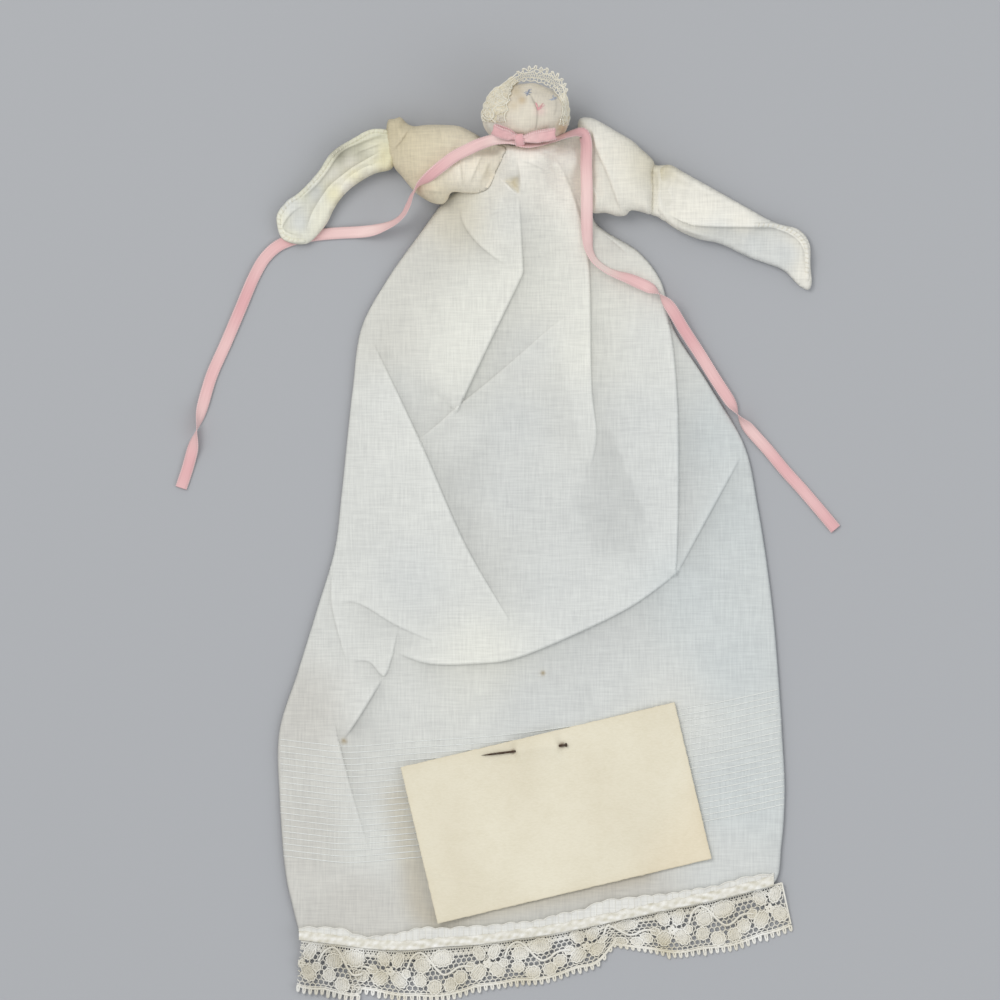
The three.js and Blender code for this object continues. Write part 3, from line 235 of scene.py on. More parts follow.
# Where one layer of cloth lies alone, which lets less light back: its outline, how much less, and
# how many of the outline's first sides are sharp
SINGLE_CLOTH = (
    (((17.8, 42.6), (26.7, 20.5), (36, -1.4), (32, -12), (14, -10), (6, 8), (11, 24)),
     0.10, 2),
    (((-17.6, -16), (-25.6, 0), (-36.8, 24.4), (-26, 31), (-12, 40), (-11.4, 26),
      (-16, 8)), 0.05, 2),
    (((3.6, 62.4), (8.6, 44), (13.6, 21), (7, 22), (-4, 30), (-6, 48)), 0.05, 2),
    (((42.8, 40), (43, -8), (60, 24), (50, 46)), 0.03, 2),
)
# Specks on the skirt: x, y, size and colour
SPECKS = ((-63, -65.5, 0.8, (160, 138, 92)), (-0.2, -44, 0.75, (160, 138, 92)))
# Line along the card's left and lower edges where its shadow is painted on the cloth
CARD_SHADOW_EDGE = ((-46, -84), (-41.5, -104), (-36.8, -120.5), (-20, -119), (30, -106.5))

# Cords woven into the lower skirt: the lowest line
CORD_LINE = ((-84, -101.5), (-73, -102.8), (-62, -103.8), (-40, -102.2), (-10, -100),
             (22, -95.5), (55, -90), (77, -85.2))

# Ribbon routes from the bow's knot: x, y, z and roll in degrees
RIGHT_RIBBON = (
    (-8.2, 123.9, 25.2, -34), (-10.4, 124.3, 24.9, -32), (-13, 124.4, 24.2, -30),
    (-15.8, 124.1, 22.9, -26), (-18.4, 123.4, 20.9, -16), (-20.6, 122.6, 19.2, -6),
    (-23.4, 121.3, 18, 4), (-27.9, 119, 17.8, 6), (-32.7, 115.4, 17.5, 8), (-36.5, 112.2, 16.5, 30),
    (-39.6, 109.6, 14.6, 75), (-41.4, 106.6, 12, 105), (-42.8, 103.4, 9.6, 115),
    (-44.4, 100.6, 7.8, 115), (-46.8, 98.4, 6, 120), (-50.2, 96.8, 4.4, 135), (-54, 95.7, 2.6, 160),
    (-58, 95.2, 1, 178), (-64.2, 94.9, 0.45, 180), (-72.1, 94.2, 0.45, 180), (-78.5, 93, 0.45, 180),
    (-83.8, 90.8, 0.5, 180), (-87.9, 87, 0.5, 182), (-91.1, 81.6, 0.6, 184), (-95.8, 70.6, 0.6, 182),
    (-100.5, 59.5, 0.5, 180), (-104.7, 50, 0.5, 180), (-107.5, 40.6, 1, 195), (-109.4, 32.7, 2.2, 270),
    (-110.9, 26, 1, 345), (-112.4, 20.4, 0.5, 360), (-114.4, 14.4, 0.45, 360),
)
LEFT_RIBBON = (
    (-7.4, 123, 24.5, 50), (-5, 122.5, 24.6, 60), (-0.6, 123, 23.8, 66), (3.6, 124.2, 21.4, 66),
    (7.2, 125.5, 17.8, 62), (10.2, 126.3, 15, 50), (12.5, 126.2, 13.2, 18), (13.4, 123.8, 12.1, 0),
    (13.5, 116.3, 11.3, -4), (13.7, 108.4, 11.2, 0), (13.7, 103, 10.7, 2), (13.7, 98, 9.2, 6),
    (13.9, 93.4, 7.6, 25), (14.5, 89.4, 6.9, 46), (16.2, 86.2, 6.6, 54), (19.6, 83.4, 6.3, 54),
    (23.2, 81.7, 6, 46), (26.6, 80.6, 5.6, 28), (30.2, 79.1, 5.2, 6), (33.4, 77.6, 5.4, 20),
    (36.6, 75.6, 5.8, 90), (40, 71.6, 4.9, 165), (44.7, 63.9, 3.2, 180), (49.4, 56.7, 2.2, 180),
    (54.5, 48.5, 2.2, 184), (58.9, 41.8, 2.4, 200), (61.6, 37.4, 2.9, 270), (65, 33, 1.4, 345),
    (70.9, 26.4, 0.6, 360), (76.2, 20, 0.5, 360), (81.9, 13.7, 0.5, 360), (87.3, 7.4, 0.5, 362),
    (92.3, 1.4, 0.45, 360),
)
RIBBON_COLUMNS = 9
RIBBON_STEP = 0.3
RIBBON_SHARE = np.linspace(-1, 1, RIBBON_COLUMNS)
# Each tail: its route, the seed of its tint, and its paler stretches, painted highlights where the satin
# catches the light, as middle and reach
RIBBONS = (
    ("ribbon_right", RIGHT_RIBBON, 11, ((6, 6), (62, 8))),
    ("ribbon_left", LEFT_RIBBON, 12, ((46, 9), (70, 6))),
)

# Arms: outline of each piece seen from above and its folds, as for the skirt
RIGHT_SLEEVE_OUTLINE = (
    (-41, 128.6), (-36.8, 129), (-31.5, 129), (-26.7, 128.6), (-23.2, 127.1), (-19.4, 124.9),
    (-15.5, 123.2), (-11.8, 121.6), (-13, 118.2), (-15, 114), (-17.4, 108.9), (-20.6, 107.4),
    (-24, 107.4), (-29, 107.6), (-30.4, 105.2), (-31.8, 104), (-34.9, 104.3), (-38, 105.9),
    (-40.6, 107.8), (-43, 110.6), (-44.8, 112.8), (-46.8, 115.2), (-48.4, 118.6), (-49.2, 122.4),
    (-49.6, 126.4), (-49.3, 129.6), (-48.8, 130.7), (-47, 130.9), (-45.3, 131.5), (-44.6, 131.1),
    (-43, 129.4),
)
RIGHT_SLEEVE_FOLDS = (
    (-1, ((-26.3, 119, 4, 0.3), (-26.1, 115.6, 5, 1), (-25.4, 107.9, 4, 1.2))),
    (1, ((-38.6, 108.6, 3, 0.3), (-34, 107.8, 4, 0.9), (-29.4, 107.7, 3, 0.4))),
    (-1, ((-18.6, 121.4, 2.5, 0.3), (-20.6, 116.6, 3, 0.8), (-22.6, 112, 3, 0.8),
          (-24, 108.8, 2.5, 0.4))),
    (-1, ((-15.6, 120.6, 2, 0.3), (-17.4, 116, 2.8, 0.8), (-19.4, 112, 2.8, 0.7),
          (-20.8, 109.4, 2, 0.3))),
    (-1, ((-13.8, 118.6, 2, 0.3), (-15, 115.6, 2.4, 0.7), (-16.6, 112.6, 2.2, 0.4))),
    (-1, ((-42.2, 128.6, 2.5, 0.5), (-43.8, 125.6, 3.2, 1.4), (-46.2, 122.4, 3, 1.1),
          (-48.4, 120, 2, 0.3))),
    (1, ((-46.8, 130.4, 1.8, 0.3), (-46, 127.6, 2.2, 0.9), (-46.6, 124.6, 2, 0.2))),
)
LEFT_SLEEVE_OUTLINE = (
    (11.6, 131), (15, 131.2), (18.6, 129.6), (22.3, 127.4), (28.6, 123.6), (30.5, 121.7), (32.7, 119.8),
    (35, 117), (34.4, 113.6), (34.8, 109.4), (34.6, 104.7), (34, 100.8), (30.6, 101.6), (27.4, 101.9),
    (26, 100.4), (23.2, 100.2), (19.7, 101.2), (15.6, 101.2), (14, 103.6), (13.4, 108), (13.2, 116),
    (12.8, 122.6), (10.8, 128.6),
)
LEFT_SLEEVE_FOLDS = (
    (1, ((15, 128.4, 4, 0.4), (16.6, 121.7, 6, 1.1), (20.2, 113.6, 6, 1.2), (23.4, 104.8, 5, 1.2),
         (25, 100.8, 4, 0.8))),
    (-1, ((13.4, 112, 2.5, 0.3), (16.4, 108, 3.5, 0.5), (18.4, 102, 3, 0.3))),
)
LEFT_KNOT_OUTLINE = (
    (33.6, 116.8), (36.1, 116.2), (39, 116.3), (41.4, 114.6), (42.3, 110.6), (42, 106), (41, 102),
    (38.6, 98.6), (36, 100), (33.8, 100.9), (33.4, 106), (33.2, 111),
)
LEFT_KNOT_FOLDS = (
    (1, ((35.6, 115.6, 2, 0.3), (36.2, 110, 2.4, 0.7), (35.8, 104.4, 2.4, 0.3))),
)
RIGHT_HAND_OUTLINE = (
    (-47.8, 127), (-51, 127.7), (-54.5, 127.6), (-59.8, 124.9), (-66.8, 120.4), (-71.2, 114.1),
    (-77.5, 107.4), (-80.7, 105.3), (-84.1, 100.9), (-84.2, 98), (-82.9, 93.6), (-80.7, 92),
    (-75, 91.4), (-72.5, 93), (-68.3, 98), (-66, 102.6), (-63.3, 106.5), (-59.8, 109.7), (-53.5, 113.5),
    (-47.6, 115.4), (-46.4, 121),
)
RIGHT_HAND_FOLDS = (
    (1, ((-49.6, 121.5, 2.6, 0.8), (-55.6, 118.2, 3.2, 1.3), (-60.2, 115.5, 3.4, 1.4),
         (-63.9, 112.7, 3.4, 1.4), (-67.2, 109.9, 3.4, 1.3), (-70, 106.2, 3.4, 1.2),
         (-72.3, 102.5, 3.2, 1.1), (-73.9, 98.8, 3, 1), (-74.8, 93.6, 2.4, 0.5))),
    (-1, ((-49, 126.3, 1.8, 0.3), (-54.2, 124.7, 2.2, 0.7), (-58.4, 123.1, 2.4, 0.9),
          (-63, 121, 2.4, 1.1), (-65.6, 118.4, 2.4, 1.1), (-67.9, 114.9, 2.4, 1),
          (-71.1, 110.8, 2.4, 0.9), (-74.3, 107.6, 2.2, 0.7), (-77.6, 104.8, 2, 0.4))),
    (1, ((-48.6, 118.2, 1.8, 0.4), (-53.8, 116.6, 2.2, 0.8), (-58.4, 114.5, 2.4, 0.8),
         (-62.6, 111.3, 2.2, 0.6), (-64.9, 107.6, 1.8, 0.2))),
    (-1, ((-49.4, 123.6, 1.4, 0.4), (-53.8, 122.2, 1.6, 0.7), (-57.4, 120.8, 1.6, 0.6),
          (-61, 118.8, 1.4, 0.2))),
    (-1, ((-75.1, 103.8, 1.8, 0.3), (-78.8, 101.9, 2, 0.8), (-81.2, 99.3, 2, 0.9),
          (-82.4, 96.5, 2, 0.9), (-80.6, 94.8, 2, 0.9), (-77.4, 94.1, 2, 0.8),
          (-74.6, 93.9, 1.8, 0.4))),
)
RIGHT_HAND_HEM = (
    (-48.6, 126.6), (-51, 126.9), (-54.3, 126.8), (-59.4, 124.2), (-66.2, 119.7), (-70.5, 113.5),
    (-76.9, 106.8), (-80.1, 104.6), (-83.2, 100.6), (-83.4, 98.1), (-82.1, 94), (-80.2, 92.8),
    (-75, 92.3),
)
LEFT_HAND_OUTLINE = (
    (35.6, 112), (36.2, 115), (37.8, 116.2), (40, 116.4), (44.4, 114), (50.9, 110.4), (62.3, 104),
    (73.1, 98.2), (80.9, 95.8), (84, 91.6), (84.3, 85.1), (84.6, 78.4), (83.6, 76.9), (80.8, 78.2),
    (75.9, 83), (70.5, 85.2), (64.9, 87.2), (55.7, 91.5), (48.8, 93), (42.1, 96), (37.8, 99.2),
    (35.4, 102.2), (34.8, 107),
)
LEFT_HAND_FOLDS = (
    (1, ((38.6, 101.6, 4, 0.5), (45, 98, 7, 1.2), (52.6, 97, 8, 1.5), (65, 96.8, 5, 1.5),
         (73.1, 96.4, 3, 1.2), (79.6, 93.4, 2.4, 1), (82.2, 89.8, 2.2, 0.9), (82.6, 82, 2, 0.6))),
    (1, ((41, 97.2, 2, 0.3), (46, 95.2, 2.4, 0.7), (53, 93, 2, 0.2))),
)
LEFT_HAND_HEM = (
    (66, 97.4), (72.6, 97.2), (79.4, 94.8), (82.6, 91.4), (83.2, 85.2), (83.3, 79.4),
)
# Middle heights of the arms and of the hands' tips, how soft a hand's tones blend, and its hem
ARM_Z = 2.5
HAND_TIP_Z = 1.2
HAND_SOFT = 6.0
HEM_R = 0.75
HEM_SINK = 0.25

# Lace edging: the heading's ruffled top, the seam under it, and the lower edge of each stretch
RUFFLE_TOP = (
    (-77.2, -125.1), (-65, -125.1), (-56.7, -127.2), (-46.2, -126.5), (-39.5, -125.1), (-31.8, -125.1),
    (-26.2, -124.6), (-15.2, -124), (-4.1, -123), (5.2, -120.7), (12.2, -119.1), (17.2, -117),
    (26.6, -115.5), (37.7, -114.1), (46.5, -113), (54.3, -111.6), (65.3, -108.8), (73, -107.4),
)
LACE_SEAM = (
    (-77.4, -128.3), (-65, -129.8), (-55, -131.1), (-43.7, -131.6), (-31.8, -130.5), (-20.7, -129.8),
    (-9.6, -128.2), (2, -126.6), (17.7, -123.5), (37.7, -119.1), (54.3, -115.7), (65.3, -113),
    (73.4, -110.9), (79, -109.4),
)
LACE_END = ((-78.4, -142), (-76.1, -142.9), (-67.7, -144.2), (-60.5, -145.6))
LACE_MIDDLE = (
    (-62.5, -141.8), (-59.7, -142.9), (-50.6, -144.8), (-41.7, -145.9), (-34.5, -145.9),
    (-26.2, -144.5), (-20.7, -142.9), (-9.6, -141.2), (-1.1, -140.4), (9.4, -137.3), (15.5, -135.4),
    (19.9, -130.9), (22.5, -127.6),
)
LACE_RIGHT = (
    (20, -129.6), (22.2, -129.8), (32.1, -131), (37.7, -132.1), (41, -132.1), (48.7, -131.2),
    (57.6, -129.8), (65.3, -127.6), (72.5, -125.1), (79, -122.8),
)
# Each stretch: its lower edge, where it starts and stops, its flowers' places and its lift
LACE_STRETCHES = (
    (LACE_END, -77.2, -57, ((-76.6, 0), (-46, 30.6)), 0.55),
    (LACE_MIDDLE, -61.6, 22, ((-48.4, 30.6), (-17.65, 61.2), (13.7, 91.8)), 0),
    (LACE_RIGHT, 20.6, 76.7, ((40.7, 122.4), (71.4, 153)), -0.25),
)
# Heights of the heading's band and ruffle; length of a repeat of the lace, and its depth
HEADING_Z = 2.85
RUFFLE_Z = 2.62
LACE_REPEAT = 30.6
LACE_DEPTH = 13.8
# Scallops of a repeat: where the first starts and where the second does; loops along the edge
SCALLOP_START = 8.0
SCALLOP_WIDE = 18.8
PICOT_PITCH = 1.9
PICOT = ((-0.30, 0.0), (-0.32, 0.8), (-0.22, 1.5), (0.0, 1.72), (0.22, 1.5), (0.32, 0.8), (0.30, 0.0))
# Points round a motif, and the motifs of one repeat: middle along and below the seam, half width,
# half height and turn in degrees
MOTIF_POINTS = 64
LACE_MOTIFS = (
    (-3, 9.3, 2.1, 2.6, 40), (2.8, 9.3, 2.1, 2.6, -40), (2.5, 3.1, 1.7, 2.5, 25),
    (-2.3, 2.8, 1.7, 2.5, -25), (-5.4, 6.9, 1.5, 1.4, 0), (5, 7.3, 1.3, 1.3, 0),
    (10.3, 4.9, 2.5, 2.1, 0), (16.6, 3.3, 3.5, 2.4, 0), (9.2, 9.2, 1.9, 1.9, 0),
    (13.6, 11.4, 2.2, 2, 0), (18.75, 11.3, 2, 2, 0), (22, 9.5, 2, 2, 0),
)
# Flowers: how far below the seam they lie and the reach of their stars
LACE_FLOWER = 6.9
LACE_STAR_R = 1.4
LACE_CORD = (
    (5.4, 5.7), (6.9, 2.6), (8.5, 1.3), (9.95, 1), (11.5, 2), (14.2, 5.7), (15.5, 7.2), (16.8, 8.1),
    (18.75, 7.8), (21.4, 6.4), (23.5, 6.3), (25.6, 6.9),
)

# Head: middle, reach and half length along the neck's axis
HEAD = (-5.6, 131.69, 14.1)
HEAD_R = 13.8
HEAD_HALF = 10.4
FACE_CREASES = (
    (((-4, 138.6), (-3.2, 136.8), (-2.4, 135.2), (-1.9, 132.6), (-2, 130), (-2.4, 127.6)), 0.8),
    (((4, 136), (3.8, 133.6), (3.2, 132)), 0.4),
)
RIGHT_EYE = (-5, 139)
LEFT_EYE = (3.2, 137.1)
MOUTH = (-1.3, 134.4)
# Spots on the face: x, y, size and colour; most are discoloured cloth, and the two brownish spots beside
# the cap's inner edge on the face's right side are painted shade from the cap
FACE_DISCOLOUR_AND_SHADE = (
    (-6.8, 136.6, 1.3, (208, 184, 146)), (5.8, 127.7, 2.0, (206, 178, 138)),
    (-1.0, 133.2, 1.6, (234, 206, 198)), (-15.5, 127.5, 4.0, (216, 212, 204)),
    (-8.6, 139.4, 2.0, (212, 196, 166)), (-9.4, 135.0, 1.8, (220, 206, 180)),
)
# Points along a stitch, and how far its ends lie off the cloth
STITCH_POINTS = 7
STITCH_CLEAR = 0.1
# Cap, from the head's middle: outer edge and the edge round the face; the stretch that stands free
CAP_ROWS = (
    (-13.6, -1.6, 3, -5.9, -2.1, 12.2), (-14, 0.4, 2.8, -5.4, 0.6, 12.6),
    (-13.4, 2.9, 3, -5, 3.4, 12.1), (-12.3, 5.6, 3.4, -4.5, 5.6, 10.7), (-10.3, 8.3, 4, -4.2, 7.6, 8.4),
    (-7.4, 9.9, 5, -3.6, 9.4, 4.7), (-4.8, 12.1, 5.6, -2.4, 10.5, 4),
    (-1.4, 14.4, 6.2, -0.2, 10.9, 3.6), (2.4, 15.2, 6.4, 2.6, 10.7, 3.6),
    (6.4, 14.7, 6.2, 5.6, 10, 3.6), (10.2, 12.7, 6, 8, 8.7, 3.9), (12.7, 9.2, 5.6, 9.6, 6.8, 4.8),
    (12.8, 6.4, 5, 10.7, 4.8, 5.9), (13.6, 2.6, 3.4, 11, 2.4, 7.7), (13.5, -0.4, 3.2, 10.7, -0.4, 8.7),
    (13, -2.8, 3.2, 9.8, -2.8, 9),
)
CAP_FRILL = (0.33, 0.80)
CAP_PICOT = ((-0.32, 0.0), (-0.34, 0.7), (0.0, 1.2), (0.34, 0.7), (0.32, 0.0))

# Bow: the knot, and each loop's root, heading, length, lean of its width and height
BOW_KNOT = (-7.6, 124, 26)
BOW_LOOPS = (
    ("bow_left_loop", (-6.8, 124.4, 26.2), 10, 10.6, 15, 1.5),
    ("bow_right_loop", (-8.6, 125, 26.2), 158, 7.6, 26, 1.5),
)
# Course of a loop, as a share of its length and a height, and its highest place
LOOP_PATH = ((0.0, -0.35), (0.3, -0.2), (0.8, 0.1), (1.0, 0.9), (0.96, 1.75), (0.6, 1.95), (0.2, 1.25),
             (0.0, 0.75))
LOOP_TOP = 1.95
# Lean of the knot's width, and the place of the neck's ribbon
BOW_LEAN = 24.0
BAND_Y = 119.0

# Card: size, place and turn, and the pin's line in the card's own directions
CARD_W = 88.9
CARD_H = 50.8
CARD_MIDDLE = (4, -88.2)
CARD_Z = 2.45
CARD_TURN = 13.35
PIN_LINE = ((7.7, 20.2), (-18.9, 23.1))
PIN_COVER = (6.4, -8.6)
CARD_CREASE = ((-44.4, -8), (-35, -13.6), (-25, -18.6))
# Rust where the pin goes through: x, y, size and colour
PIN_RUST = ((6.8, 20.4, 0.8, (104, 66, 40)), (-8.8, 22, 0.6, (104, 66, 40)))


def linear(red, green, blue):
    """An 8-bit sRGB colour as linear values."""
    share = np.array((red, green, blue), float) / 255
    return np.where(share <= 0.04045, share / 12.92, ((share + 0.055) / 1.055) ** 2.4)


def between(first, second, share):
    """Linear colours between two sRGB colours, by a share for each row."""
    return linear(*first) + np.reshape(share, (-1, 1)) * (linear(*second) - linear(*first))


def spotted(tint, flat, spots, share, where=1.0):
    """A tint with round spots blended in, each with its place, size and colour."""
    for x, y, size, colour in spots:
        near = where * np.exp(-(((flat - (x, y)) ** 2).sum(1)) / size ** 2)
        tint = tint + share * near[:, None] * (linear(*colour) - tint)
    return tint


def smooth(share):
    """An even rise from 0 to 1 that starts and ends level."""
    share = np.clip(share, 0.0, 1.0)
    return share * share * (3 - 2 * share)


def unit(rows):
    """Rows at length 1."""
    return rows / np.maximum(np.linalg.norm(rows, axis=-1, keepdims=True), 1e-9)


def spline(points, step, dims=2, closed=False):
    """Rows at even steps along a smooth curve through the points; other columns follow along."""
    rows = np.asarray(points, float)
    if closed:
        rows = np.vstack((rows[-1], rows, rows[:2]))
    else:
        rows = np.vstack((2 * rows[0] - rows[1], rows, 2 * rows[-1] - rows[-2]))
    span = np.sqrt(np.linalg.norm(np.diff(rows[:, :dims], axis=0), axis=1)) + 1e-6
    share = np.linspace(0, 1, 16, endpoint=False)[:, None]
    dense = []
    for i in range(1, len(rows) - 2):
        before, here, after = span[i - 1:i + 2]
        chord = (rows[i + 1] - rows[i]) / here
        start = (rows[i] - rows[i - 1]) / before + chord - (rows[i + 1] - rows[i - 1]) / (before + here)
        end = chord + (rows[i + 2] - rows[i + 1]) / after - (rows[i + 2] - rows[i]) / (here + after)
        dense.append(rows[i] + smooth(share) * (rows[i + 1] - rows[i])
                     + here * share * (1 - share) * ((1 - share) * start - share * end))
    dense.append(rows[-2][None])
    dense = np.vstack(dense)
    lengths = np.r_[0, np.cumsum(np.linalg.norm(np.diff(dense[:, :dims], axis=0), axis=1))]
    count = max(2, int(round(lengths[-1] / step)) + 1)
    at = np.linspace(0, lengths[-1], count)
    even = np.column_stack([np.interp(at, lengths, column) for column in dense.T])
    return even[:-1] if closed else even


def nearest(points, line):
    """Distance from each point to a line, place along it in rows, and the side (left is 1)."""
    start = line[:-1, :2]
    span = np.diff(line[:, :2], axis=0)
    size = np.maximum((span ** 2).sum(1), 1e-12)
    offset = points[:, None, :] - start[None]
    share = np.clip((offset * span).sum(2) / size, 0, 1)
    gap = np.linalg.norm(offset - share[..., None] * span, axis=2)
    best = gap.argmin(1)
    row = np.arange(len(points))
    cross = span[best, 0] * offset[row, best, 1] - span[best, 1] * offset[row, best, 0]
    return gap[row, best], best + share[row, best], np.where(cross >= 0, 1, -1)


def beside(line):
    """Directions along a flat line, and to the left of it."""
    heading = unit(np.gradient(line[:, :2], axis=0))
    return heading, np.column_stack((-heading[:, 1], heading[:, 0]))


def from_edge(points, outline):
    """Distance from each point to a closed outline."""
    return nearest(points, np.vstack((outline, outline[:1])))[0]


def along(line, place):
    """Columns of a line at fractional rows."""
    index = np.arange(len(line))
    return np.column_stack([np.interp(place, index, column) for column in line.T])


def inside(points, outline):
    """Whether each point is inside a closed outline."""
    x, y = points[:, 0, None], points[:, 1, None]
    ax, ay = outline[:, 0], outline[:, 1]
    bx, by = np.roll(ax, -1), np.roll(ay, -1)
    rise = np.where(by == ay, 1e-9, by - ay)
    crossing = ((ay > y) != (by > y)) & (x < ax + (bx - ax) * (y - ay) / rise)
    return crossing.sum(1) % 2 == 1


def ripple(points, length, seed):
    """A smooth random field between about -1 and 1, with waves about as long as given."""
    random = np.random.default_rng(seed)
    turn = random.uniform(0, 2 * math.pi, WAVES)
    rate = 2 * math.pi / (length * random.uniform(0.7, 1.6, WAVES))
    phase = random.uniform(0, 2 * math.pi, WAVES)
    heading = np.stack((np.cos(turn), np.sin(turn))) * rate
    return np.sin(points[:, :2] @ heading + phase).sum(1) / math.sqrt(WAVES)


def blended_tint(points, tints, soft=TINT_SOFT):
    """Colours between the named tones, each of which counts most near its own places."""
    places = np.array([place for tone in tints for place in tints[tone]], float)
    away = ((points[:, None, :2] - places[None]) ** 2).sum(2)
    weight = 1 / (away + soft) ** TINT_FALL
    colours = TINT_GAIN * np.array([linear(*CLOTH_TONES[tone]) for tone in tints for _ in tints[tone]])
    return (weight[..., None] * colours[None]).sum(1) / weight.sum(1)[:, None]


def flat_tree(points):
    """A search tree over the flat places of points."""
    tree = KDTree(len(points))
    for i, point in enumerate(points):
        tree.insert((point[0], point[1], 0), i)
    tree.balance()
    return tree


def filled(outline, extra, pitch):
    """Triangles over an outline: its own points, extra points, and an even grid between them."""
    low, high = outline.min(0), outline.max(0)
    row_pitch = pitch * math.sqrt(3) / 2
    columns = np.arange(low[0], high[0], pitch)
    rows = np.arange(low[1], high[1], row_pitch)
    grid = np.array([(x + (k % 2) * pitch / 2, y) for k, y in enumerate(rows) for x in columns])
    extra = extra[inside(extra, outline)] if len(extra) else np.empty((0, 2))
    fixed = np.vstack((outline, extra))
    tree = flat_tree(fixed)
    grid = grid[inside(grid, outline)]
    clear = [tree.find((x, y, 0))[2] > 0.55 * pitch for x, y in grid]
    points = np.vstack((fixed, grid[np.array(clear, bool)]))
    count = len(outline)
    edges = [(i, (i + 1) % count) for i in range(count)]
    made = delaunay_2d_cdt([Vector(p) for p in points], edges, [], 1, 1e-6)
    return np.array([tuple(v) for v in made[0]]), np.array([tuple(f) for f in made[2]], int)


def fold_points(folds):
    """Points on and beside the edge of each fold, so that the mesh follows it."""
    rows = []
    for side, line in folds:
        line = spline(line, FOLD_STEP)
        left = beside(line)[1] * side
        rows += [line[:, :2] + left * away for away in FOLD_ROWS]
    return np.vstack(rows)


def from_fold(points, rows, ease):
    """Distance from a fold's edge, the side, the panel's width and rise there, and its eased ends."""
    line = spline(rows, FOLD_STEP)
    gap, place, hand = nearest(points, line)
    width, rise = along(line[:, 2:], place).T
    return gap, hand, width, rise, smooth(np.minimum(place, len(line) - 1 - place) / ease)


def fold_height(points, folds, lift):
    """Height that the folds add: each panel climbs to its rounded edge and drops off behind it."""
    total = np.zeros(len(points))
    for side, rows in folds:
        gap, hand, width, rise, ends = from_fold(points, rows, 4)
        rise = rise * lift * ends
        share = np.clip(1 - gap / width, 0, 1) ** 1.5
        lip = np.clip(gap / (0.22 + 0.18 * rise), 0, 1)
        lip = np.sqrt(1 - (1 - lip) ** 2)
        on_panel = share * (0.45 + 0.55 * lip)
        past = 0.45 * np.clip(1 - gap / FOLD_DROP, 0, 1)
        total += rise * np.where(hand == side, on_panel, past)
    return total


def chest_height(points):
    """Height of the cloth that falls from the neck and runs out along the shoulders."""
    off = points[:, 0] - NECK[0]
    fall = np.clip((NECK[1] - points[:, 1]) / CHEST_FALL, 0, 1)
    spread = 7.4 + 3.2 * np.exp(-fall / 0.15) + 32.0 * fall
    drape = np.exp(-0.9 * (off / spread) ** 2)
    collar = np.exp(-1.2 * (off / 11.2) ** 4)
    drape = drape + np.exp(-fall / 0.12) * np.maximum(collar - drape, 0)
    chest = CHEST_TOP * (1 - smooth(fall ** 0.75)) * drape
    left_end, left_z = SHOULDER_LEFT_END
    right_end, right_z = SHOULDER_RIGHT_END
    out = np.where(off > 0, off / (left_end - NECK[0]), off / (right_end - NECK[0]))
    start_z = NECK_Z + 3.0
    ridge = start_z + (np.where(off > 0, left_z, right_z) - start_z) * smooth(out)
    across = (points[:, 1] - NECK[1]) / np.where(points[:, 1] > NECK[1], 8.0, SHOULDER_HALF)
    shoulder = ridge * np.exp(-across ** 2) * smooth(1.5 - out)
    turn = np.arctan2(off, NECK[1] + 5.0 - points[:, 1])
    near = np.exp(-np.hypot(off, NECK[1] - points[:, 1]) / 17.0)
    flutes = 0.4 * near * (np.sin(15.0 * turn + 0.4) + 0.6 * np.sin(26.0 * turn + 1.1))
    flutes = flutes * smooth(np.abs(off) / 7.0)
    return np.maximum(chest, shoulder) + flutes


def single_share(points):
    """How much light each place loses because the cloth lies there in one layer."""
    loss = np.zeros(len(points))
    for outline, share, sharp in SINGLE_CLOTH:
        ring = np.array((*outline, outline[0]))
        crisp = smooth(nearest(points, ring[:sharp + 1])[0] / 1.2)
        faded = smooth(nearest(points, ring[sharp:])[0] / 9.0)
        loss += np.where(inside(points, ring[:-1]), share * crisp * faded, 0.0)
    return loss


def pocket_share(points):
    """How far each place lies in the hollow below the neck: 0 outside it, 1 well inside."""
    ring = np.array(POCKET)
    return np.where(inside(points, ring), smooth(from_edge(points, ring) / 1.4), 0.0)


def skirt_height(points, lift=FOLD_LIFT):
    """Top of the skirt at each place."""
    outline = spline(SKIRT_OUTLINE, SKIRT_STEP, closed=True)
    gap = from_edge(points, outline)
    loose = 0.10 * ripple(points, 26.0, 3) + 0.05 * ripple(points, 9.0, 5)
    top = SKIRT_TOP + loose + fold_height(points, SKIRT_FOLDS, lift) + chest_height(points)
    top = top - 1.8 * pocket_share(points)
    at_neck = np.exp(-((points[:, 0] - NECK[0]) / 9.5) ** 4) * smooth((points[:, 1] - 112.0) / 8.0)
    edge = SKIRT_EDGE_Z + 16.5 * at_neck
    width = 1.4 + 0.22 * np.maximum(top - edge - 2.0, 0)
    round_off = np.sqrt(1 - (1 - np.clip(gap / width, 0, 1)) ** 2)
    return edge + (top - edge) * round_off


def node(tree, kind, place, **values):
    """A node at a place, with its settings and the values of its inputs."""
    made = tree.nodes.new(kind)
    made.location = place
    for name, value in values.items():
        if hasattr(made, name):
            setattr(made, name, value)
        else:
            made.inputs[name.replace("_", " ")].default_value = value
    return made


def link(tree, start, output, end, entry):
    tree.links.new(start.outputs[output], end.inputs[entry])


def new_group(name, *outputs):
    """An empty shader group with its outputs, its coordinates and its output node."""
    tree = bpy.data.node_groups.new(name, "ShaderNodeTree")
    for title, kind in outputs:
        tree.interface.new_socket(title, in_out="OUTPUT", socket_type=kind)
    return tree, node(tree, "ShaderNodeTexCoord", (-900, 0)), node(tree, "NodeGroupOutput", (900, 0))


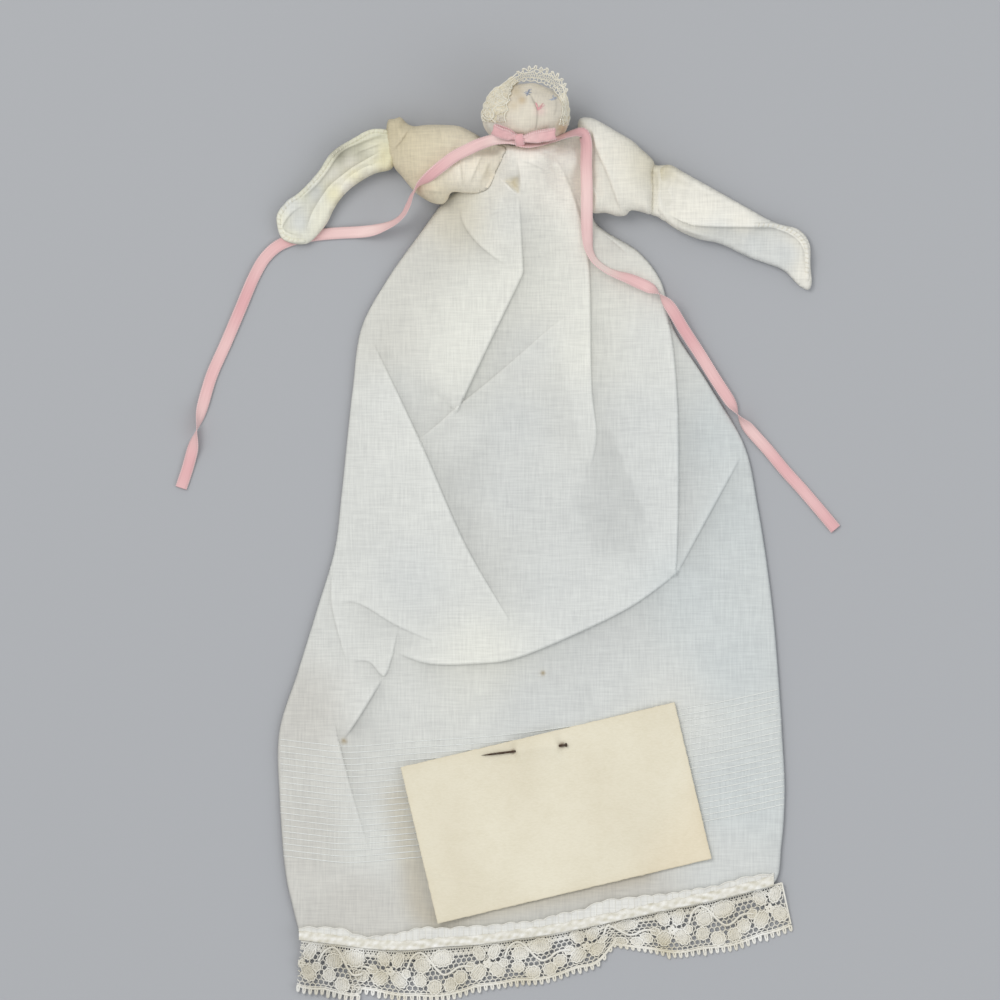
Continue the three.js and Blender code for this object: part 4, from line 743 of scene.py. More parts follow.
def mapped(tree, coords, system, scale, texture):
    """A texture node on one of the coordinates, scaled."""
    place = texture.location
    mapping = node(tree, "ShaderNodeMapping", (place[0] - 200, place[1]))
    mapping.inputs["Scale"].default_value = scale
    link(tree, coords, system, mapping, "Vector")
    link(tree, mapping, "Vector", texture, "Vector")
    return texture


def slub_noise(tree, coords, scale, place, detail=2.0):
    """Noise drawn out along one axis of the object."""
    noise = node(tree, "ShaderNodeTexNoise", place, Scale=1.0, Detail=detail, Roughness=0.6)
    return mapped(tree, coords, "Object", scale, noise)


def weighted(tree, first, share, second, place):
    """A node that adds a share of one value to another."""
    made = node(tree, "ShaderNodeMath", place, operation="MULTIPLY_ADD")
    made.inputs[1].default_value = share
    link(tree, first, 0, made, 0)
    tree.links.new(second, made.inputs[2])
    return made


def ramped(tree, value, low, dark, high=1.0, light=(1, 1, 1)):
    """A node that turns a value into a colour between two."""
    ramp = node(tree, "ShaderNodeValToRGB", (250, -100))
    first, last = ramp.color_ramp.elements
    first.position = low
    first.color = (*dark, 1)
    last.position = high
    last.color = (*light, 1)
    link(tree, value, 0, ramp, "Fac")
    return ramp


def grain_group(name):
    """An empty shader group for a weave: it takes the shade's depth, and puts out height and shade."""
    made = new_group(name, ("Height", "NodeSocketFloat"), ("Shade", "NodeSocketColor"))
    depth = made[0].interface.new_socket("Depth", in_out="INPUT", socket_type="NodeSocketFloat")
    depth.default_value = 1.0
    return made


def shade_out(tree, ramp, out):
    """Puts out a ramp's colour as the shade, as deep as the group is told."""
    entry = node(tree, "NodeGroupInput", (400, 150))
    mix = node(tree, "ShaderNodeMix", (600, -100), data_type="RGBA")
    mix.inputs[6].default_value = (1, 1, 1, 1)
    link(tree, entry, "Depth", mix, 0)
    link(tree, ramp, "Color", mix, 7)
    link(tree, mix, 2, out, "Shade")


def weave_group(name):
    """Uneven threads both ways: a height for the bump and a grey shade for the colour."""
    tree, coords, out = grain_group(name)
    warp = slub_noise(tree, coords, (2000, 130, 400), (-450, 200))
    weft = slub_noise(tree, coords, (130, 2000, 400), (-450, -100))
    cloudy = slub_noise(tree, coords, (60, 60, 60), (-450, -400), 3.0)
    both = weighted(tree, warp, 1.0, weft.outputs["Fac"], (-150, 100))
    link(tree, both, "Value", out, "Height")
    mixed = weighted(tree, cloudy, 0.35, both.outputs["Value"], (0, -100))
    scaled = node(tree, "ShaderNodeMath", (150, -250), operation="MULTIPLY")
    scaled.inputs[1].default_value = 0.62
    link(tree, mixed, "Value", scaled, 0)
    shade_out(tree, ramped(tree, scaled, 0.45, (0.80, 0.80, 0.81), 0.92), out)
    return tree


def satin_group(name):
    """Fine ribs across a ribbon and faint lines along it, from its own width and length."""
    tree, coords, out = grain_group(name)
    ribs = node(tree, "ShaderNodeTexWave", (-500, 150), Scale=1.0, Distortion=0.6, Detail=1.0)
    ribs.bands_direction = "Y"
    mapped(tree, coords, "UV", (1.0, 0.75, 1.0), ribs)
    lines = node(tree, "ShaderNodeTexNoise", (-500, -150), Scale=1.0, Detail=2.0)
    mapped(tree, coords, "UV", (14.0, 0.12, 1.0), lines)
    both = weighted(tree, lines, 0.5, ribs.outputs["Fac"], (-200, 50))
    link(tree, both, "Value", out, "Height")
    shade_out(tree, ramped(tree, lines, 0.25, (0.82, 0.78, 0.78), 0.75), out)
    return tree


def fibre_group(name):
    """Fine fibres and a softer mottle, for twisted thread or felted paper."""
    fine, detail, soft, soft_detail, share, low, dark = FIBRES[name]
    tree, coords, out = grain_group(name)
    strand = slub_noise(tree, coords, fine, (-450, 100), detail)
    mottle = slub_noise(tree, coords, soft, (-450, -200), soft_detail)
    both = weighted(tree, mottle, share, strand.outputs["Fac"], (-150, 0))
    link(tree, both, "Value", out, "Height")
    shade_out(tree, ramped(tree, both, low, dark), out)
    return tree


def tarnish_group(name):
    """Rust and tarnish on old steel: a colour, a roughness and a height."""
    tree, coords, out = new_group(name, ("Color", "NodeSocketColor"), ("Roughness", "NodeSocketFloat"),
                                  ("Height", "NodeSocketFloat"))
    patch = slub_noise(tree, coords, (700, 700, 700), (-450, 100), 5.0)
    ramp = ramped(tree, patch, 0.35, linear(96, 88, 80), 0.65, linear(70, 44, 28))
    link(tree, ramp, "Color", out, "Color")
    span = node(tree, "ShaderNodeMapRange", (-100, -200), To_Min=0.3, To_Max=0.75)
    link(tree, patch, "Fac", span, "Value")
    link(tree, span, "Result", out, "Roughness")
    link(tree, patch, "Fac", out, "Height")
    return tree


def bumped(tree, group, shader, strength, distance):
    """Bumps on a shader from a group's height."""
    bumps = node(tree, "ShaderNodeBump", (50, -200), Strength=strength, Distance=distance * MM)
    link(tree, group, "Height", bumps, "Height")
    link(tree, bumps, "Normal", shader, "Normal")


GROUPS = {
    "plain_weave": weave_group,
    "satin_rib": satin_group,
    "thread_twist": fibre_group,
    "paper_fibre": fibre_group,
    "tarnish": tarnish_group,
}


def placed_group(tree, name):
    """A node with the shader group of that name, which is built once."""
    group = node(tree, "ShaderNodeGroup", (-400, -100))
    group.node_tree = bpy.data.node_groups.get(name) or GROUPS[name](name)
    return group


def steel_material(material):
    """Old steel under tarnish."""
    tree = material.node_tree
    shader = tree.nodes["Principled BSDF"]
    shader.inputs["Metallic"].default_value = 0.85
    group = placed_group(tree, "tarnish")
    link(tree, group, "Color", shader, "Base Color")
    link(tree, group, "Roughness", shader, "Roughness")
    bumped(tree, group, shader, 0.5, 0.05)


def cloth_material(material, weave, depth, strength, bump, roughness, sheen):
    """A cloth whose colour is the mesh's own tint, shaded and bumped by a weave group."""
    tree = material.node_tree
    shader = tree.nodes["Principled BSDF"]
    shader.inputs["Roughness"].default_value = roughness
    shader.inputs["Sheen Weight"].default_value = sheen
    shader.inputs["Specular IOR Level"].default_value = 0.25
    tint = node(tree, "ShaderNodeAttribute", (-400, 200), attribute_name="tint")
    group = placed_group(tree, weave)
    group.inputs["Depth"].default_value = depth
    mix = node(tree, "ShaderNodeMix", (50, 150), data_type="RGBA", blend_type="MULTIPLY")
    mix.inputs[0].default_value = 1.0
    link(tree, tint, "Color", mix, 6)
    link(tree, group, "Shade", mix, 7)
    link(tree, mix, 2, shader, "Base Color")
    bumped(tree, group, shader, strength, bump)


def finish(name):
    """A material by its slot's name, made when it is first asked for."""
    made = bpy.data.materials.get("doll_" + name)
    if not made:
        made = bpy.data.materials.new("doll_" + name)
        made.use_nodes = True
        if name in FINISHES:
            cloth_material(made, *FINISHES[name])
        else:
            steel_material(made)
    return made


def new_piece(name, shape, look, tint, uv=None):
    """A mesh object from points in millimetres and faces, with its tint as a colour attribute."""
    points, faces = shape
    mesh = bpy.data.meshes.new(name)
    mesh.from_pydata((np.asarray(points) * MM).tolist(), [], [list(face) for face in faces])
    mesh.validate()
    colours = np.ones((len(mesh.vertices), 4))
    colours[:, :3] = tint
    layer = mesh.attributes.new("tint", "FLOAT_COLOR", "POINT")
    layer.data.foreach_set("color", colours.ravel())
    if uv is not None:
        corner = np.empty(len(mesh.loops), int)
        mesh.loops.foreach_get("vertex_index", corner)
        mesh.uv_layers.new(name="width_length").data.foreach_set("uv", uv[corner].ravel())
    mesh.polygons.foreach_set("use_smooth", np.ones(len(mesh.polygons), bool))
    mesh.materials.append(finish(look))
    made = bpy.data.objects.new(name, mesh)
    bpy.context.collection.objects.link(made)
    return made


def thicken(piece):
    """Gives a sheet the cloth's thickness, below its top."""
    thick = piece.modifiers.new("thickness", "SOLIDIFY")
    thick.thickness = CLOTH_T * MM
    thick.offset = -1


def ring_faces(rows, columns):
    """Faces of a grid of points, row by row, whose last column joins the first."""
    i, j = np.meshgrid(np.arange(rows - 1), np.arange(columns), indexing="ij")
    k = (j + 1) % columns
    return np.stack((i * columns + j, i * columns + k, (i + 1) * columns + k, (i + 1) * columns + j),
                    axis=-1).reshape(-1, 4)


def closed_tube(grid):
    """Points of a tube of rings (rows, columns, 3), and its faces with both ends closed."""
    rows, columns = grid.shape[:2]
    faces = ring_faces(rows, columns).tolist()
    faces.append(list(range(columns))[::-1])
    faces.append(list(range((rows - 1) * columns, rows * columns)))
    return grid.reshape(-1, 3), faces


def closed_strip(upper, lower):
    """A closed shell from two grids of points (rows, columns, 3), and its faces."""
    rows, columns = upper.shape[:2]
    ring = np.concatenate((upper, lower[:, ::-1]), axis=1)
    points = ring.reshape(-1, 3)
    faces = ring_faces(rows, 2 * columns).tolist()
    last = (rows - 1) * 2 * columns
    for j in range(columns - 1):
        mate = 2 * columns - 1 - j
        faces.append([j + 1, j, mate, mate - 1])
        faces.append([last + j, last + j + 1, last + mate - 1, last + mate])
    return points, faces


def strands(paths, radius, sides=5):
    """Round threads along paths of equal length (count, points, 3), closed at both ends."""
    paths = np.asarray(paths, float)
    count, length = paths.shape[:2]
    heading = unit(np.gradient(paths, axis=1))
    side = np.cross(heading, UP)
    flat = np.linalg.norm(side, axis=-1, keepdims=True) < 0.05
    side = unit(np.where(flat, np.cross(heading, (0.0, 1.0, 0.0)), side))
    lift = np.cross(side, heading)
    radius = np.broadcast_to(np.asarray(radius, float), (count, length))
    turn = np.arange(sides) * 2 * math.pi / sides
    ring = (side[:, :, None] * np.cos(turn)[:, None] + lift[:, :, None] * np.sin(turn)[:, None])
    points = (paths[:, :, None] + ring * radius[:, :, None, None]).reshape(-1, 3)
    tube = ring_faces(length, sides)
    shift = np.arange(count) * length * sides
    faces = (tube[None] + shift[:, None, None]).reshape(-1, 4).tolist()
    cap = np.arange(sides)
    faces += (cap[None, ::-1] + shift[:, None]).tolist()
    faces += (cap[None] + (length - 1) * sides + shift[:, None]).tolist()
    return points, faces


def merged(parts):
    """One set of points and faces out of several."""
    points, faces, shift = [], [], 0
    for some, made in parts:
        points.append(np.asarray(some))
        faces += [[i + shift for i in face] for face in made]
        shift += len(some)
    return np.vstack(points), faces


def strip_uv(share, half, lengths):
    """Places across and along a closed strip of ribbon, in millimetres."""
    ring = np.concatenate((share, share[::-1])) * half
    return np.stack(np.broadcast_arrays(ring[None], lengths[:, None]), -1).reshape(-1, 2)


def ribbon_mesh(route, width, thick, picot):
    """A satin ribbon along a route: its shape, its places and its middle line."""
    rows = spline(route, RIBBON_STEP, dims=3)
    middle = rows[:, :3]
    heading = unit(np.gradient(middle, axis=0))
    level = unit(np.cross(heading, UP))
    lift = np.cross(level, heading)
    roll = np.radians(rows[:, 3])[:, None]
    side = level * np.cos(roll) + lift * np.sin(roll)
    face = np.cross(side, heading)
    lengths = np.arange(len(rows)) * RIBBON_STEP
    share = RIBBON_SHARE
    tooth = picot * (np.arange(len(rows)) % 2)
    outer = np.abs(share) > 0.99
    reach = width / 2 + np.where(outer[None], tooth[:, None], 0.0)
    bow = 0.10 * (1 - share ** 2) + 0.05 * np.sin(lengths / 5.0)[:, None] * share[None]
    place = middle[:, None] + side[:, None] * (share * reach)[..., None] + face[:, None] * bow[..., None]
    half = np.where(outer, 0.3, 1.0) * thick / 2
    upper = place + face[:, None] * half[None, :, None]
    lower = place - face[:, None] * half[None, :, None]
    return closed_strip(upper, lower), strip_uv(share, width / 2, lengths), middle


def ribbon_tint(uv, seed, pale=()):
    """Pink, deeper and paler along the ribbon at random, with painted highlights on the given paler
    stretches, and paler picot edges.
    """
    random = np.random.default_rng(seed)
    phase = random.uniform(0, 6.28, 3)
    wave = (np.sin(uv[:, 1] / 11.0 + phase[0]) + np.sin(uv[:, 1] / 4.3 + phase[1])) / 4 + 0.5
    for place, reach in pale:
        wave = wave + 1.1 * np.exp(-((uv[:, 1] - place) / reach) ** 2)
    colour = between((236, 184, 186), (249, 214, 211), wave)
    colour = np.minimum(colour, linear(254, 238, 234))
    share = np.abs(uv[:, 0]) / np.abs(uv[:, 0]).max()
    colour = colour * (1 - 0.10 * np.exp(-((share - 0.74) / 0.1) ** 2))[:, None]
    dots = np.rint(uv[:, 1] / RIBBON_STEP) % 2 > 0
    rim = np.where(dots[:, None], linear(251, 234, 230), linear(232, 178, 180))
    return np.where((share > 0.95)[:, None], rim, colour)


def fold_layers_and_shade(points, folds):
    """Lighter on the doubled cloth of each panel, greyer on the single cloth past its edge; painted
    highlights and shadows at the edge are added in.
    """
    tone = np.zeros(len(points))
    for side, rows in folds:
        gap, hand, width, rise, ends = from_fold(points, rows, 8)
        ends = ends * np.clip(rise / 1.8, 0, 1)
        # The doubled cloth's tone, and a painted highlight along the edge
        panel = 0.35 * np.clip(1 - gap / (1.6 * width), 0, 1) + 0.45 * np.exp(-gap / 0.7)
        # Past the edge: the greyer single cloth with a soft painted shadow, and a narrow painted contact
        # shadow at the edge
        shade = -np.exp(-gap / (0.6 * width)) - 0.7 * np.exp(-gap / 0.5)
        tone += ends * np.where(hand == side, panel, shade)
    return np.clip(tone, -1.9, 0.8)


def puffed(outline, folds, pitch, floor, height, rim, reach, seed, under=None, dish=0.0):
    """A closed padded shape over an outline, and the flat places of its points."""
    edge = spline(outline, 0.9, closed=True)
    flat, faces = filled(edge, fold_points(folds), pitch)
    gap = from_edge(flat, edge)
    tall = height(flat) if callable(height) else height
    base = floor(flat) if callable(floor) else floor
    crown = np.sqrt(1 - (1 - np.clip(gap / reach, 0, 1)) ** 2)
    seat = base + rim * tall
    soft = 0.18 * ripple(flat, 7.0, seed) + 0.10 * ripple(flat, 3.0, seed + 1)
    top = seat + (1 - rim) * tall * crown + (fold_height(flat, folds, 1.0) + soft) * smooth(gap / 1.6)
    top = top - dish * tall * smooth((gap - 1.6) / 2.2)
    bottom = seat - rim * tall * crown
    if under is not None:
        top = np.maximum(top, under(flat) + 0.25 + 0.35 * smooth(gap / 1.2))
        bottom = np.maximum(bottom, np.minimum(under(flat) + 0.25, top - 0.4))
    on_rim = gap < 1e-4
    lower = np.where(on_rim, np.arange(len(flat)), 0)
    lower[~on_rim] = len(flat) + np.arange((~on_rim).sum())
    points = np.vstack((np.column_stack((flat, top)), np.column_stack((flat, bottom))[~on_rim]))
    both = np.vstack((faces, lower[faces[:, ::-1]]))
    spread = np.concatenate((np.arange(len(flat)), np.flatnonzero(~on_rim)))
    return (points, both), flat[spread]


def hem_roll(path, points, seed):
    """A rolled hem along a path on top of a piece, with its slanting stitches."""
    line = spline(path, 0.5)
    tree = flat_tree(points)

    def on_top(x, y):
        return max(points[i][2] for _, i, _ in tree.find_n((x, y, 0), 4))

    height = np.array([on_top(x, y) for x, y in line])
    height = np.convolve(np.pad(height, 4, mode="edge"), np.ones(9) / 9, mode="valid")
    wobble = 0.12 * ripple(line, 3.5, seed)
    middle = np.column_stack((line, height - HEM_SINK))
    ends = smooth(np.minimum(np.arange(len(line)), np.arange(len(line))[::-1]) / 3 + 0.25)
    roll = strands(middle[None], (HEM_R + wobble * 0.5)[None] * ends[None], 10)
    heading, left = beside(line)
    stitches = []
    for i in range(4, len(line) - 4, 3):
        across = np.linspace(-0.75, 0.75, 5) * HEM_R
        arch = np.sqrt(np.maximum(HEM_R ** 2 - across ** 2, 0)) + 0.08
        flat = line[i] + left[i] * across[:, None] + heading[i] * (across * 0.35)[:, None]
        stitches.append(np.column_stack((flat, middle[i, 2] + arch)))
    return roll, strands(stitches, 0.1, 4)


def lace_map(stretch):
    """Turns places along and below the seam into points on one stretch of the lace."""
    lower, first, last, flowers, lift = stretch
    seam = spline(LACE_SEAM, 1.0)
    edge = spline(lower, 0.5)
    places = np.asarray(flowers)
    slope = np.gradient(seam[:, 1], seam[:, 0])
    step = places[min(2, len(places) - 1)] - places[0]
    past = 90 * np.array((1.0, step[1] / step[0]))
    table = np.vstack((places[0] - past, places, places[-1] + past))
    span = np.interp((first, last), table[:, 0], table[:, 1])

    def place(along_it, below, raised=0.0):
        x = np.interp(along_it, table[:, 1], table[:, 0])
        tilt = np.interp(x, seam[:, 0], slope)
        top = np.interp(x, seam[:, 0], seam[:, 1])
        low = np.interp(x, edge[:, 0], edge[:, 1])
        depth = below / LACE_DEPTH
        flat = np.stack((x + (below - LACE_FLOWER) * tilt * 0.8, top + (low - top) * depth), axis=-1)
        wave = ripple(flat.reshape(-1, 2), 11.0, 21).reshape(x.shape)
        z = 1.5 - 0.95 * np.clip(depth, 0, 1.2) + 0.16 * wave + lift + raised
        return np.concatenate((flat, np.maximum(z, 0.22)[..., None]), axis=-1)

    return place, span


def turned(u, v, tilt):
    """Places turned by an angle."""
    cos, sin = math.cos(tilt), math.sin(tilt)
    return np.column_stack((u * cos - v * sin, u * sin + v * cos))


def motif_ring(motif):
    """Scalloped outline of a motif, as places along and below the seam."""
    along_it, below, wide, high, turn = motif
    angle = np.linspace(0, 2 * math.pi, MOTIF_POINTS)
    tilt = math.radians(turn)
    reach = 1 + 0.07 * np.cos(round(4.2 * (wide + high) / 2) * angle + along_it)
    u, v = wide * reach * np.cos(angle), high * reach * np.sin(angle)
    return turned(u, v, tilt) + (along_it, below)


def in_motifs(places, motifs):
    """Whether each place lies in one of the motifs."""
    covered = np.zeros(len(places), bool)
    for along_it, below, wide, high, turn in motifs:
        tilt = math.radians(turn)
        du, dv = places[:, 0] - along_it, places[:, 1] - below
        a = du * math.cos(tilt) + dv * math.sin(tilt)
        b = dv * math.cos(tilt) - du * math.sin(tilt)
        covered |= (a / wide) ** 2 + (b / high) ** 2 < 0.95
    return covered


def net_edges(start, stop, top, bottom, pitch):
    """The sides of a six-sided net, as pairs of places."""
    row_pitch = pitch * math.sqrt(3) / 2
    corner = pitch / math.sqrt(3)
    turn = np.radians((-30, 30, 90, 150))
    ring = corner * np.column_stack((np.cos(turn), np.sin(turn)))
    edges = []
    for k, below in enumerate(np.arange(top, bottom, row_pitch)):
        across = np.arange(start, stop, pitch) + (k % 2) * pitch / 2
        for i in range(3):
            ends = np.stack((ring[i], ring[i + 1]))
            edges.append(ends[None] + np.stack((across, np.full(len(across), below)), -1)[:, None])
    return np.vstack(edges)


def lace_parts(stretch, net_pitch, thread):
    """Net, motifs, cords and picots of one stretch of the edging."""
    place, (start, stop) = lace_map(stretch)
    repeats = np.arange(math.floor(start / LACE_REPEAT) - 1, math.ceil(stop / LACE_REPEAT) + 2)
    shifts = repeats * LACE_REPEAT
    parts, pads = [], []
    motifs = [(at + shift, *rest) for shift in shifts for at, *rest in LACE_MOTIFS]
    motifs = [m for m in motifs if start + 1.6 < m[0] < stop - 1.6]

    def keep(line):
        return line[(line[:, 0] >= start) & (line[:, 0] <= stop)]

    def cord(line, radius, raised, sides=5):
        line = keep(line)
        if len(line) > 3:
            parts.append(strands(place(line[:, 0], line[:, 1], raised)[None], radius, sides))

    for pitch, top, bottom, radius in ((net_pitch, 1.6, LACE_DEPTH - 0.5, thread * 0.5),
                                       (0.5 * net_pitch, 0.2, 2.4, thread * 0.42)):
        edges = net_edges(start, stop, top, bottom, pitch)
        middle = edges.mean(1)
        clear = (middle[:, 0] > start) & (middle[:, 0] < stop) & (middle[:, 1] < LACE_DEPTH)
        clear &= ~in_motifs(middle, motifs)
        edges = edges[clear]
        parts.append(strands(place(edges[..., 0], edges[..., 1]), radius, 4))
    for motif in motifs:
        ring = motif_ring(motif)
        cord(ring, thread * 0.62, 0.20)
        middle = np.array(motif[:2])
        pad = np.stack([middle + (ring - middle) * share for share in (0.96, 0.6, 0.02)])
        pads.append(closed_strip(*(place(pad[..., 0], pad[..., 1], raised) for raised in (0.02, -0.10))))
        tilt = math.radians(motif[4])
        for u in np.arange(-motif[2] + 0.45, motif[2] - 0.2, 0.72):
            half = motif[3] * math.sqrt(1 - (u / motif[2]) ** 2) * 0.98
            v = np.linspace(-half, half, 7)
            cord(middle + turned(u, v, tilt), thread * 0.46, 0.16, 4)
    for shift in shifts:
        star = np.linspace(0, 2 * math.pi, 41)
        reach = LACE_STAR_R * (0.72 + 0.28 * np.cos(5 * star))
        for size in (reach, 0.5):
            ring = np.column_stack((size * np.cos(star), size * np.sin(star)))
            cord(ring + (shift, LACE_FLOWER), thread * 0.9, 0.2)
        cord(spline(LACE_CORD, 0.5) + (shift, 0), thread * 0.95, 0.3)
    line = np.arange(start, stop, 0.45)
    repeat = np.mod(line - SCALLOP_START, LACE_REPEAT)
    second = (repeat - SCALLOP_WIDE) / (LACE_REPEAT - SCALLOP_WIDE)
    bulge = np.where(repeat < SCALLOP_WIDE, repeat / SCALLOP_WIDE, second)
    lower = LACE_DEPTH + 0.45 * np.sin(math.pi * bulge) - 0.3
    cord(np.column_stack((line, lower)), thread * 0.9, 0.1)
    cord(np.column_stack((line, lower - 0.55)), thread * 0.5, 0.05)
    cord(np.column_stack((line, np.full(len(line), 0.25))), thread * 0.6, 0.05)
    if stretch is LACE_STRETCHES[-1]:
        side = np.linspace(0.2, LACE_DEPTH - 0.3, 30)
        cord(np.column_stack((np.full(30, stop), side)), thread * 0.8, 0.1)
    teeth = np.arange(start + 0.5, stop - 0.3, PICOT_PITCH)
    joints = [np.mod(teeth - at, LACE_REPEAT) for at in (SCALLOP_START, SCALLOP_START + SCALLOP_WIDE)]
    near_joint = np.minimum(*joints) < PICOT_PITCH
    base = np.interp(teeth, line, lower)
    stretch_by = np.where(near_joint, 1.35, 1.0)
    picots = np.array(PICOT)[None] * np.stack((np.ones(len(teeth)), stretch_by), -1)[:, None]
    picots = picots + np.stack((teeth, base), -1)[:, None]
    parts.append(strands(place(picots[..., 0], picots[..., 1], 0.05), thread * 0.8, 5))
    return parts + pads


def head_point(turn, tilt):
    """A place on the head, by the angle round the neck's axis and the angle from its top."""
    reach = HEAD_R * np.sin(tilt)
    low = np.clip((tilt - 1.75) / 1.1, 0, 1) ** 1.5
    gather = low * (0.55 * np.sin(17 * turn) + 0.35 * np.sin(29 * turn + 1.0))
    reach = reach + gather
    up = np.broadcast_to(HEAD_HALF * np.cos(tilt), reach.shape)
    return np.stack((reach * np.cos(turn), up, reach * np.sin(turn)), axis=-1) + HEAD


def face_z(x, y):
    """Height of a stitch's ends on the front of the head."""
    across = (x - HEAD[0]) / (HEAD_R + STITCH_CLEAR)
    up = (y - HEAD[1]) / (HEAD_HALF + STITCH_CLEAR)
    return HEAD[2] + (HEAD_R + STITCH_CLEAR) * np.sqrt(np.maximum(0, 1 - across ** 2 - up ** 2))


def stitch(start, end, lift):
    """A stitch over the face between two places, bowed a little away from the cloth."""
    share = np.linspace(0, 1, STITCH_POINTS)
    x = start[0] + (end[0] - start[0]) * share
    y = start[1] + (end[1] - start[1]) * share
    return np.column_stack((x, y, face_z(x, y) + lift * np.sin(math.pi * share)))


def cap_map():
    """Turns shares along the cap and across it into points on the cap, clear of the head."""
    rows = spline(CAP_ROWS, 0.4, dims=3)

    def place(a, b, lift=0.0):
        a, b = np.broadcast_arrays(np.asarray(a, float), np.asarray(b, float))
        shape = a.shape
        a, b = a.ravel(), b.ravel()
        b = b + (1 - b) * 0.07 * np.abs(np.sin(a * 52))
        pair = along(rows, a * (len(rows) - 1))
        point = pair[:, 3:] + (pair[:, :3] - pair[:, 3:]) * b[:, None]
        size = np.array((HEAD_R, HEAD_HALF, HEAD_R)) + 0.35
        reach = np.linalg.norm(point / size, axis=1)
        point = point / np.minimum(reach, 1.0)[:, None]
        free = smooth((reach - 0.95) / 0.25)
        crinkle = (0.10 + 0.22 * free) * ripple(np.column_stack((a * 70, b * 9)), 3.4, 33)
        point = point + unit(point / size) * (crinkle + 0.12 + np.ravel(lift))[:, None]
        return (point + np.array(HEAD)).reshape(*shape, 3)

    return place, np.linalg.norm(np.diff(rows[:, :3], axis=0), axis=1).sum()


def card_height(a, b):
    """Height of the card over its resting plane: arched over the pin, curled at the left end."""
    low, high = PIN_COVER[1], PIN_COVER[0]
    line = np.interp(a, (PIN_LINE[1][0], PIN_LINE[0][0]), (PIN_LINE[1][1], PIN_LINE[0][1]))
    ease = 1.2 + 0.9 * np.abs(line - b)
    window = smooth(0.5 + (a - low - 0.7) / ease) * smooth(0.5 + (high - 0.7 - a) / ease)
    near = np.exp(-np.maximum(line - b, 0) / 6.0) * np.exp(-np.maximum(b - line, 0) / 22.0)
    curl = 1.6 * np.clip((-a - 24) / 20, 0, 1) ** 2 + 0.5 * np.clip((a - 34) / 10, 0, 1) ** 2
    return 1.75 * window * near + curl


class DollStageSettings(bpy.types.PropertyGroup):
    """The floor and the light round the doll."""

    floor: FloatVectorProperty(name="Floor", description="Colour of the plain floor",
                               subtype="COLOR", default=(0.43, 0.44, 0.46), min=0.0, max=1.0)
    sky: FloatProperty(name="Sky", description="Strength of the even light from all round",
                       default=0.66, min=0.0)
    key: FloatProperty(name="Key", description="Power of the large light at the upper left",
                       default=17.5, min=0.0)
    fill: FloatProperty(name="Fill", description="Power of the weak light at the right",
                        default=2.0, min=0.0)


def distance(name, description, size):
    """A length as a setting, with its default in millimetres."""
    return FloatProperty(name=name, description=description, default=size * MM, unit="LENGTH",
                         subtype="DISTANCE")


class DollRibbonSettings(bpy.types.PropertyGroup):
    """The satin ribbon of the bow and its tails."""

    width: distance("Width", "Width of the ribbon between its picots", 3.5)
    thick: distance("Thickness", "Thickness of the ribbon", 0.3)
    picot: distance("Picot", "How far the loops at its edges stand out", 0.22)


class DollSkirtSettings(bpy.types.PropertyGroup):
    """The handkerchief's skirt."""

    grid: distance("Grid", "Spacing of the cloth's points", 1.25)
    lift: FloatProperty(name="Fold height", description="Height of the folds against the measured one",
                        default=FOLD_LIFT, min=0.0, max=2.0)
    cords: IntProperty(name="Cords", description="Number of cords woven into the lower skirt",
                       default=20, min=0)
    cord_pitch: distance("Cord spacing", "Distance between the woven cords", 1.93)


class DollLaceSettings(bpy.types.PropertyGroup):
    """The lace edging."""

    net: distance("Net", "Width of a mesh of the net", 1.65)
    thread: distance("Thread", "Thickness of the net's thread", 0.40)


class DollArmsSettings(bpy.types.PropertyGroup):
    """The sleeves, knots and hands."""

    grid: distance("Grid", "Spacing of the cloth's points on the arms", 0.9)


class DollCardSettings(bpy.types.PropertyGroup):
    """The bare card."""

    width: distance("Width", "Width of the card", CARD_W)
    height: distance("Height", "Height of the card", CARD_H)
    thick: distance("Thickness", "Thickness of the card", 0.45)


